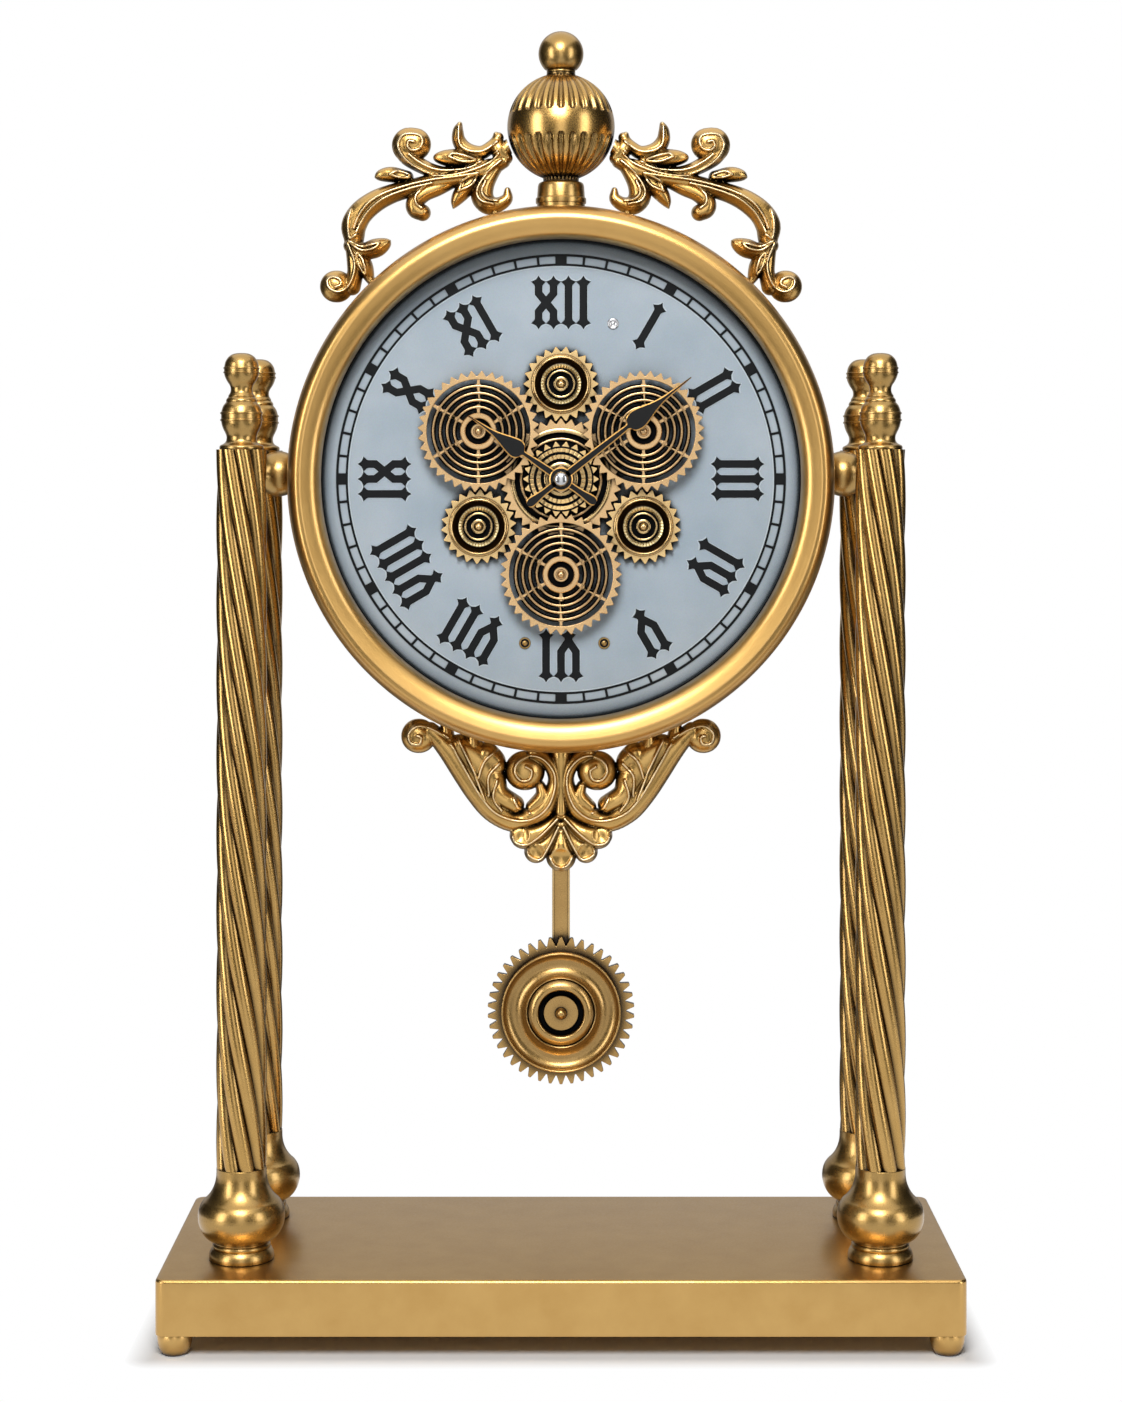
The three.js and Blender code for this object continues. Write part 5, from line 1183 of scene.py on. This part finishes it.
# Crest limbs from the globe outwards: stem, upper scroll, leaves, horn, hook, foot and their seats
CREST_LIMBS = [
    [(28.9, 160.2, 3.2), (37.9, 156.3, 4.8), (47.5, 153.1, 5.1), (57.2, 151.2, 4.8), (66.8, 149.2, 4.5)]
    + [(76.4, 146.7, 4.5), (85.4, 144.1, 4.8), (93.8, 140.2, 5.5), (100.9, 134.5, 6.1), (104.6, 128, 6.3)]
    + [(104.6, 121.6, 5.1), (105, 116.5, 3.9), (104.7, 110, 3.5), (104.1, 103.6, 4), (105.7, 97.2, 4.5)],
    [(113.7, 97.2, 8.0), (113, 97.2, 8.0)],
    [(47.5, 155, 3.2), (57.2, 154.4, 3.2), (64.9, 155.7, 3.5), (71.9, 158.9, 3.9), (77.7, 162.7, 4.2)]
    + [(80.9, 167.2, 4.2)],
    [(76.4, 168.5, 9.0), (73.9, 169, 8.2)],
    [(77.7, 152.5, 3.2), (85.4, 153.7, 3.9), (90.6, 153.4, 2.9), (93.7, 152.3, 0.5)],
    [(41.7, 160.2, 3.2), (48.8, 161.5, 5.1), (57.2, 162.1, 4.2), (61.7, 162.2, 2.6), (64, 162.2, 0.6)],
    [(51.1, 179.1, 1.3), (52, 175.6, 2.7), (51.4, 170.5, 3.5), (47.5, 166, 3.9), (40.4, 164.7, 3.5)]
    + [(34.7, 168.5, 2.9), (31.5, 172.4, 2.6)],
    [(32.7, 173.7, 1.6), (31.5, 166.6, 4.5), (27.6, 162.1, 3.2)],
    [(44.3, 149.9, 3.9), (49.4, 145.4, 4.2), (52.7, 140.9, 2.9), (54.4, 136.9, 0.5)],
    [(55.9, 149.2, 2.9), (62.3, 146.7, 3.7), (68.7, 144.1, 3.9), (73.5, 140.2, 4.4), (73.5, 136.4, 4.5)]
    + [(70, 134.5, 4.2)],
    [(30.2, 160.2, 2.6), (34.7, 154.4, 3.5), (38.5, 148.6, 4.8), (39.8, 142.8, 5.7), (36.6, 138.3, 4.8)]
    + [(31.5, 138.6, 3.7), (27.3, 141.5, 2.9), (27, 145.7, 1.6)],
    [(106, 117.8, 3.9), (99.6, 115.2, 4.2), (93.8, 116.5, 4.8), (89.3, 118.4, 3.2), (86.4, 120.3, 0.5)],
    [(102.1, 113.3, 1.9), (99.6, 108.8, 4), (97.6, 103.6, 3.2), (96.7, 100.4, 1.9)],
    [(97.5, 104, 2.4), (94.5, 97, 2.0), (92.6, 92.4, 2.0)],
    [(34, 140, 2.4), (33.2, 133.5, 2.2), (32.8, 126, 2.2)],
    [(32.5, 160, 3.0), (28, 166.5, 3.8), (24.6, 169.5, 3.2)],
]
CREST_RIDGES = [
    [(32.1, 164.7), (39.2, 160.2), (47.5, 156.6), (57.2, 155.4), (64.9, 156.3), (71.9, 159.8), (76.4, 163.4)],
    [(31.5, 163.4), (37.9, 158.2), (47.5, 154.4), (57.2, 152.5), (64.9, 153.1), (72.6, 156.3), (78.4, 160.8)]
    + [(81.3, 165.3), (81.9, 169.2), (79.6, 173), (75.1, 173.8), (70.7, 172.7), (69.5, 169.5), (71.3, 166)]
    + [(74.8, 165.2), (77.1, 167.2), (76.4, 169.8), (73.9, 169.5)],
    [(41.7, 153.7), (53.9, 151.8), (64.9, 150.5), (76.4, 148), (88, 144.1), (96.4, 139), (101.5, 132.5)]
    + [(104.1, 126.1)],
    [(64.9, 148.7), (76.4, 145.9), (88, 141.5), (95.7, 135.7), (100.2, 129.3), (102.8, 124.2)],
    [(106, 135.1), (107, 130.6), (107, 124.8), (106, 121), (102.8, 122.9)],
    [(107.6, 119), (105.4, 113.9), (103.7, 108.8), (104.4, 102.3), (107.3, 96.5), (111.8, 94), (116.3, 95.9)]
    + [(117.6, 99.8), (115, 101.7), (111.1, 100.4), (110.5, 97.8), (113.1, 96.5)],
    [(86.1, 153.1), (81.6, 155), (75.2, 152.5), (80.3, 151.5), (86.1, 153.1)],
    [(56.5, 162.1), (53.3, 163.7), (43, 160.5), (49.4, 159.5), (56.5, 162.1)],
    [(51.7, 144.7), (49.4, 149.9), (42.4, 153.1), (44.9, 148), (51.7, 144.7)],
    [(107, 119.7), (100.2, 117.1), (91.9, 118.7), (94.4, 115.8), (100.9, 115.2), (107, 119.7)],
    [(102.8, 113.3), (100.2, 111.3), (98.3, 104.9), (99.2, 103), (102.1, 108.1), (102.8, 113.3)],
    [(51.4, 177.5), (51.4, 170.5), (49.4, 166.6), (44.3, 164.7), (38.5, 165.3), (32.1, 169.8)],
    [(70, 136.4), (72.9, 139), (72.6, 143.5), (68.1, 147.3)],
    [(30.2, 160.2), (36, 155), (41.1, 148.6), (42.4, 143.5), (39.8, 139.6), (34, 138.3)],
    [(37.9, 149.9), (39.8, 144.7), (37.2, 140.9), (32.1, 140.2)],
]
crest_points, crest_faces = casting(CREST_LIMBS, CREST_RIDGES, [])
for side, sign in (("left", -1), ("right", 1)):
    crest = ([(sign * x, y, z) for x, y, z in crest_points], crest_faces)
    make_piece("crest_" + side, crest, scroll_gold, "crest_scroll_" + side, 65)

# Bracket limbs of one side: outer volute and ribbon, inner ribbon and boss, acanthus, blades and petals
BRACKET_LIMBS = [
    [(72.1, -129.8, 8.6), (71.6, -129.8, 8.6)],
    [(66, -127, 4.2), (62.1, -130.6, 4.8), (55.1, -138.1, 6.2), (48.1, -148.3, 6.7), (41.6, -158, 6.7)]
    + [(34.1, -166.6, 6.7), (25.5, -172.6, 5.4), (19, -172, 4.8)],
    [(19, -172, 4.8), (9.4, -167.2, 5.4), (4.5, -159.1, 4.3), (2.9, -150.5, 3.8), (6.7, -142.4, 3.8)]
    + [(13.7, -138.1, 4.3)],
    [(18.5, -147.3, 9.9), (18, -147.3, 9.9)],
    [(51.3, -135.4, 6.5), (42.7, -141.9, 9.2), (36.3, -150.5, 8.1), (32, -159.1, 5.9), (23.3, -164.5, 4.8)],
    [(37.3, -138.7, 5.9), (33, -141.9, 4.8), (32, -145.1, 4.3)],
    [(14.7, -165.6, 3.2), (9.4, -160.2, 3.8), (10.4, -154.8, 2.4)],
    [(0.7, -169.9, 2.2), (9.4, -177.4, 4.8), (18, -180.6, 6.2), (20.4, -179.8, 5.6)],
    [(0.7, -174.2, 2.2), (6.1, -182.8, 4.3), (12.6, -188, 6.0)],
    [(57, -133, 4), (58, -124, 3)],
    [(44, -136, 4), (44.5, -126, 3)],
]
BRACKET_RIDGES = [
    [(56.7, -130), (64.3, -125.7), (71.8, -124.1), (76.6, -127.9), (75.6, -132.7), (71.3, -133.3)]
    + [(70.2, -130), (72.3, -129)],
    [(55.1, -133.3), (48.1, -146.2), (40.6, -159.1), (33, -167.7), (23.3, -171.5), (14.7, -171)]
    + [(7.2, -165.6), (3.4, -157), (3.4, -148.3), (8.3, -141.4), (14.7, -139.2), (21.2, -141.9)]
    + [(23.3, -147.3), (20.1, -151.6), (15.8, -151), (14.7, -146.7), (17.4, -144.6)],
    [(51.3, -131.1), (43.8, -147.3), (38.4, -161.3)],
    [(32, -136), (38.4, -141.9), (41.6, -150.5)],
    [(30.9, -143), (36.3, -149.4), (36.3, -159.1)],
    [(32, -151.6), (34.1, -160.2), (29.8, -166.6)],
    [(23.9, -160.2), (21.2, -165.6), (15.8, -167.7)],
    [(1.8, -171), (9.4, -178.5), (16.9, -183.9), (23.3, -182.8), (25, -177.4)],
    [(1.3, -175.3), (6.1, -184.9), (10.4, -191.4), (16.3, -189.3), (16.9, -186)],
    [(6.1, -189.9), (3.5, -194.3), (0, -195.7)],
]
BRACKET_HOLLOWS = [(20.0, -179, 4.3), (12.6, -187.6, 4.3)]
# The bracket's middle: a tapered stem and a drop below it
limbs = [
    [(0, -128, 6), (0, -138.7, 5.4), (0, -146.2, 4.1), (0, -157, 3.2), (0, -167.7, 3.8)],
    [(0, -178.5, 3.2), (0, -187, 6.5), (0, -190.6, 7.6)],
]
ridges, hollows = [], [(0, -190.5, 4.8)]
for sign in (-1, 1):
    limbs += [[(sign * x, z, half) for x, z, half in limb] for limb in BRACKET_LIMBS]
    ridges += [[(sign * x, z) for x, z in ridge] for ridge in BRACKET_RIDGES]
    hollows += [(sign * x, z, radius) for x, z, radius in BRACKET_HOLLOWS]
make_piece("bracket_casting", casting(limbs, ridges, hollows), scroll_gold, "lower_bracket", 65)


# Stage: a white floor that keeps the contact shadow, cards that give the metal something to reflect,
# one large soft lamp and a camera nearly level with the middle of the dial. Its sizes are in metres.
def white_when_seen(finish):
    """1 for rays that look at the surround, straight or through a reflection, and 0 for its light."""
    rays = add_node(finish, "LightPath").node.outputs
    seen = add_node(finish, "Math", {0: rays["Is Camera Ray"], 1: rays["Is Glossy Ray"]})
    return add_node(finish, "Math", {0: seen, 1: rays["Is Transmission Ray"]}, use_clamp=True)


def stage_sheet(name, corners, finish):
    """A single face of the stage."""
    mesh = bpy.data.meshes.new(name)
    mesh.from_pydata(corners, [], [(0, 1, 2, 3)])
    mesh.materials.append(finish)
    piece = bpy.data.objects.new(name, mesh)
    bpy.context.scene.collection.objects.link(piece)
    return piece


FLOOR = 2.5
SHADOW_REACH = 0.014
# White paper: under and beside the base it takes the shadow; further out it melts into the surround
paper, paper_shader = new_finish("white_paper_floor")
plug(paper, paper_shader, {"Base Color": (0.9, 0.9, 0.9, 1), "Roughness": 0.9})
away = add_node(paper, "TexCoord", output="Object")
half_base = (base_width / 2 * MM, base_depth / 2 * MM, 0)
for operation, other in (("ABSOLUTE", {}), ("SUBTRACT", {1: half_base}), ("MAXIMUM", {1: (0, 0, 0)})):
    away = add_node(paper, "VectorMath", {0: away, **other}, operation=operation)
away = add_node(paper, "VectorMath", {0: away}, "Value", operation="LENGTH")
fade = {0: remap(paper, away, 0.0, SHADOW_REACH), 1: white_when_seen(paper)}
fade = add_node(paper, "Math", fade, operation="MULTIPLY")
white = add_node(paper, "Emission", {"Strength": 1.0})
blend = add_node(paper, "MixShader", {0: fade, 1: paper_shader.outputs[0], 2: white})
plug(paper, paper.node_tree.nodes["Material Output"], {"Surface": blend})
stage_sheet("floor", [(-FLOOR, -FLOOR, 0), (FLOOR, -FLOOR, 0), (FLOOR, FLOOR, 0), (-FLOOR, FLOOR, 0)], paper)

world = bpy.data.worlds.new("white_surround")
bpy.context.scene.world = world
world.use_nodes = True
AMBIENT = 0.09
level = remap(world, white_when_seen(world), 0.0, 1.0, AMBIENT, 1.0)
plug(world, world.node_tree.nodes["Background"], {"Color": (1, 1, 1, 1), "Strength": level})


def card(name, low, high, grey):
    """A matt card between two opposite corners, flat along one axis and seen only in reflections."""
    a, b = [i for i in range(3) if low[i] != high[i]]
    corners = []
    for u, v in ((low, low), (high, low), (high, high), (low, high)):
        corner = list(low)
        corner[a], corner[b] = u[a], v[b]
        corners.append(corner)
    felt, shader = new_finish(name + "_felt")
    plug(felt, shader, {
        "Base Color": (0, 0, 0, 1),
        "Specular IOR Level": 0,
        "Emission Color": (1, 1, 1, 1),
        "Emission Strength": grey,
    })
    piece = stage_sheet(name, corners, felt)
    piece.visible_camera = False
    piece.visible_diffuse = False
    piece.visible_shadow = False


ROOM, NEAR, FAR, LOW, HIGH = 1.3, -1.8, 1.4, 0.01, 1.9
LANE, LANE_NEAR, LANE_FAR = 0.28, -1.75, -0.45
STRIP, STRIP_NEAR, STRIP_FAR, STRIP_TOP = 1.28, -1.35, -0.7, 1.3
for name, low, high, grey in (
    ("card_left", (-ROOM, NEAR, LOW), (-ROOM, FAR, HIGH), 0.015),
    ("card_right", (ROOM, NEAR, LOW), (ROOM, FAR, HIGH), 0.015),
    ("card_back", (-ROOM, FAR, LOW), (ROOM, FAR, HIGH), 0.5),
    ("card_front", (-ROOM, NEAR, LOW), (ROOM, NEAR, HIGH), 0.1),
    ("card_behind_camera", (-LANE, LANE_NEAR, 0.02), (LANE, LANE_NEAR, HIGH), 1.7),
    ("card_roof", (-ROOM, NEAR, HIGH), (ROOM, FAR, HIGH), 1.25),
    ("card_low", (-ROOM, NEAR, LOW), (ROOM, LANE_FAR, LOW), 0.08),
    ("card_low_front", (-LANE, LANE_NEAR, 0.015), (LANE, LANE_FAR, 0.015), 1.0),
    ("card_low_back", (-ROOM, 0.2, LOW), (ROOM, FAR, LOW), 0.12),
    ("strip_left", (-STRIP, STRIP_NEAR, LOW), (-STRIP, STRIP_FAR, STRIP_TOP), 6.0),
    ("strip_right", (STRIP, STRIP_NEAR, LOW), (STRIP, STRIP_FAR, STRIP_TOP), 4.2),
):
    card(name, low, high, grey)

LAMP_PLACE, LAMP_AIM = np.array((-0.1, -1.25, 1.4)), np.array((0, 0, 0.42))
LAMP_SIZE = 0.7
LAMP_WATTS = 23
lamp = bpy.data.lights.new("key_softbox", "AREA")
lamp.shape = "RECTANGLE"
lamp.size = lamp.size_y = LAMP_SIZE
lamp.energy = LAMP_WATTS
softbox = bpy.data.objects.new("key_softbox", lamp)
bpy.context.scene.collection.objects.link(softbox)
softbox.location = LAMP_PLACE
across, along, up = LAMP_AIM - LAMP_PLACE
tilt = math.atan2(up, math.hypot(across, along))
softbox.rotation_euler = (math.pi / 2 + tilt, 0, -math.atan2(across, along))

camera = bpy.data.objects.new("camera", bpy.data.cameras.new("camera"))
bpy.context.scene.collection.objects.link(camera)
camera.location = (0, -1.360, 0.4254)
camera.rotation_euler = (math.pi / 2, 0, 0)
camera.data.lens = 68.96
camera.data.sensor_width = 36
camera.data.shift_y = -231 / 1402
camera.data.clip_start = 0.05
bpy.context.scene.camera = camera
bpy.context.scene.view_settings.view_transform = "Standard"
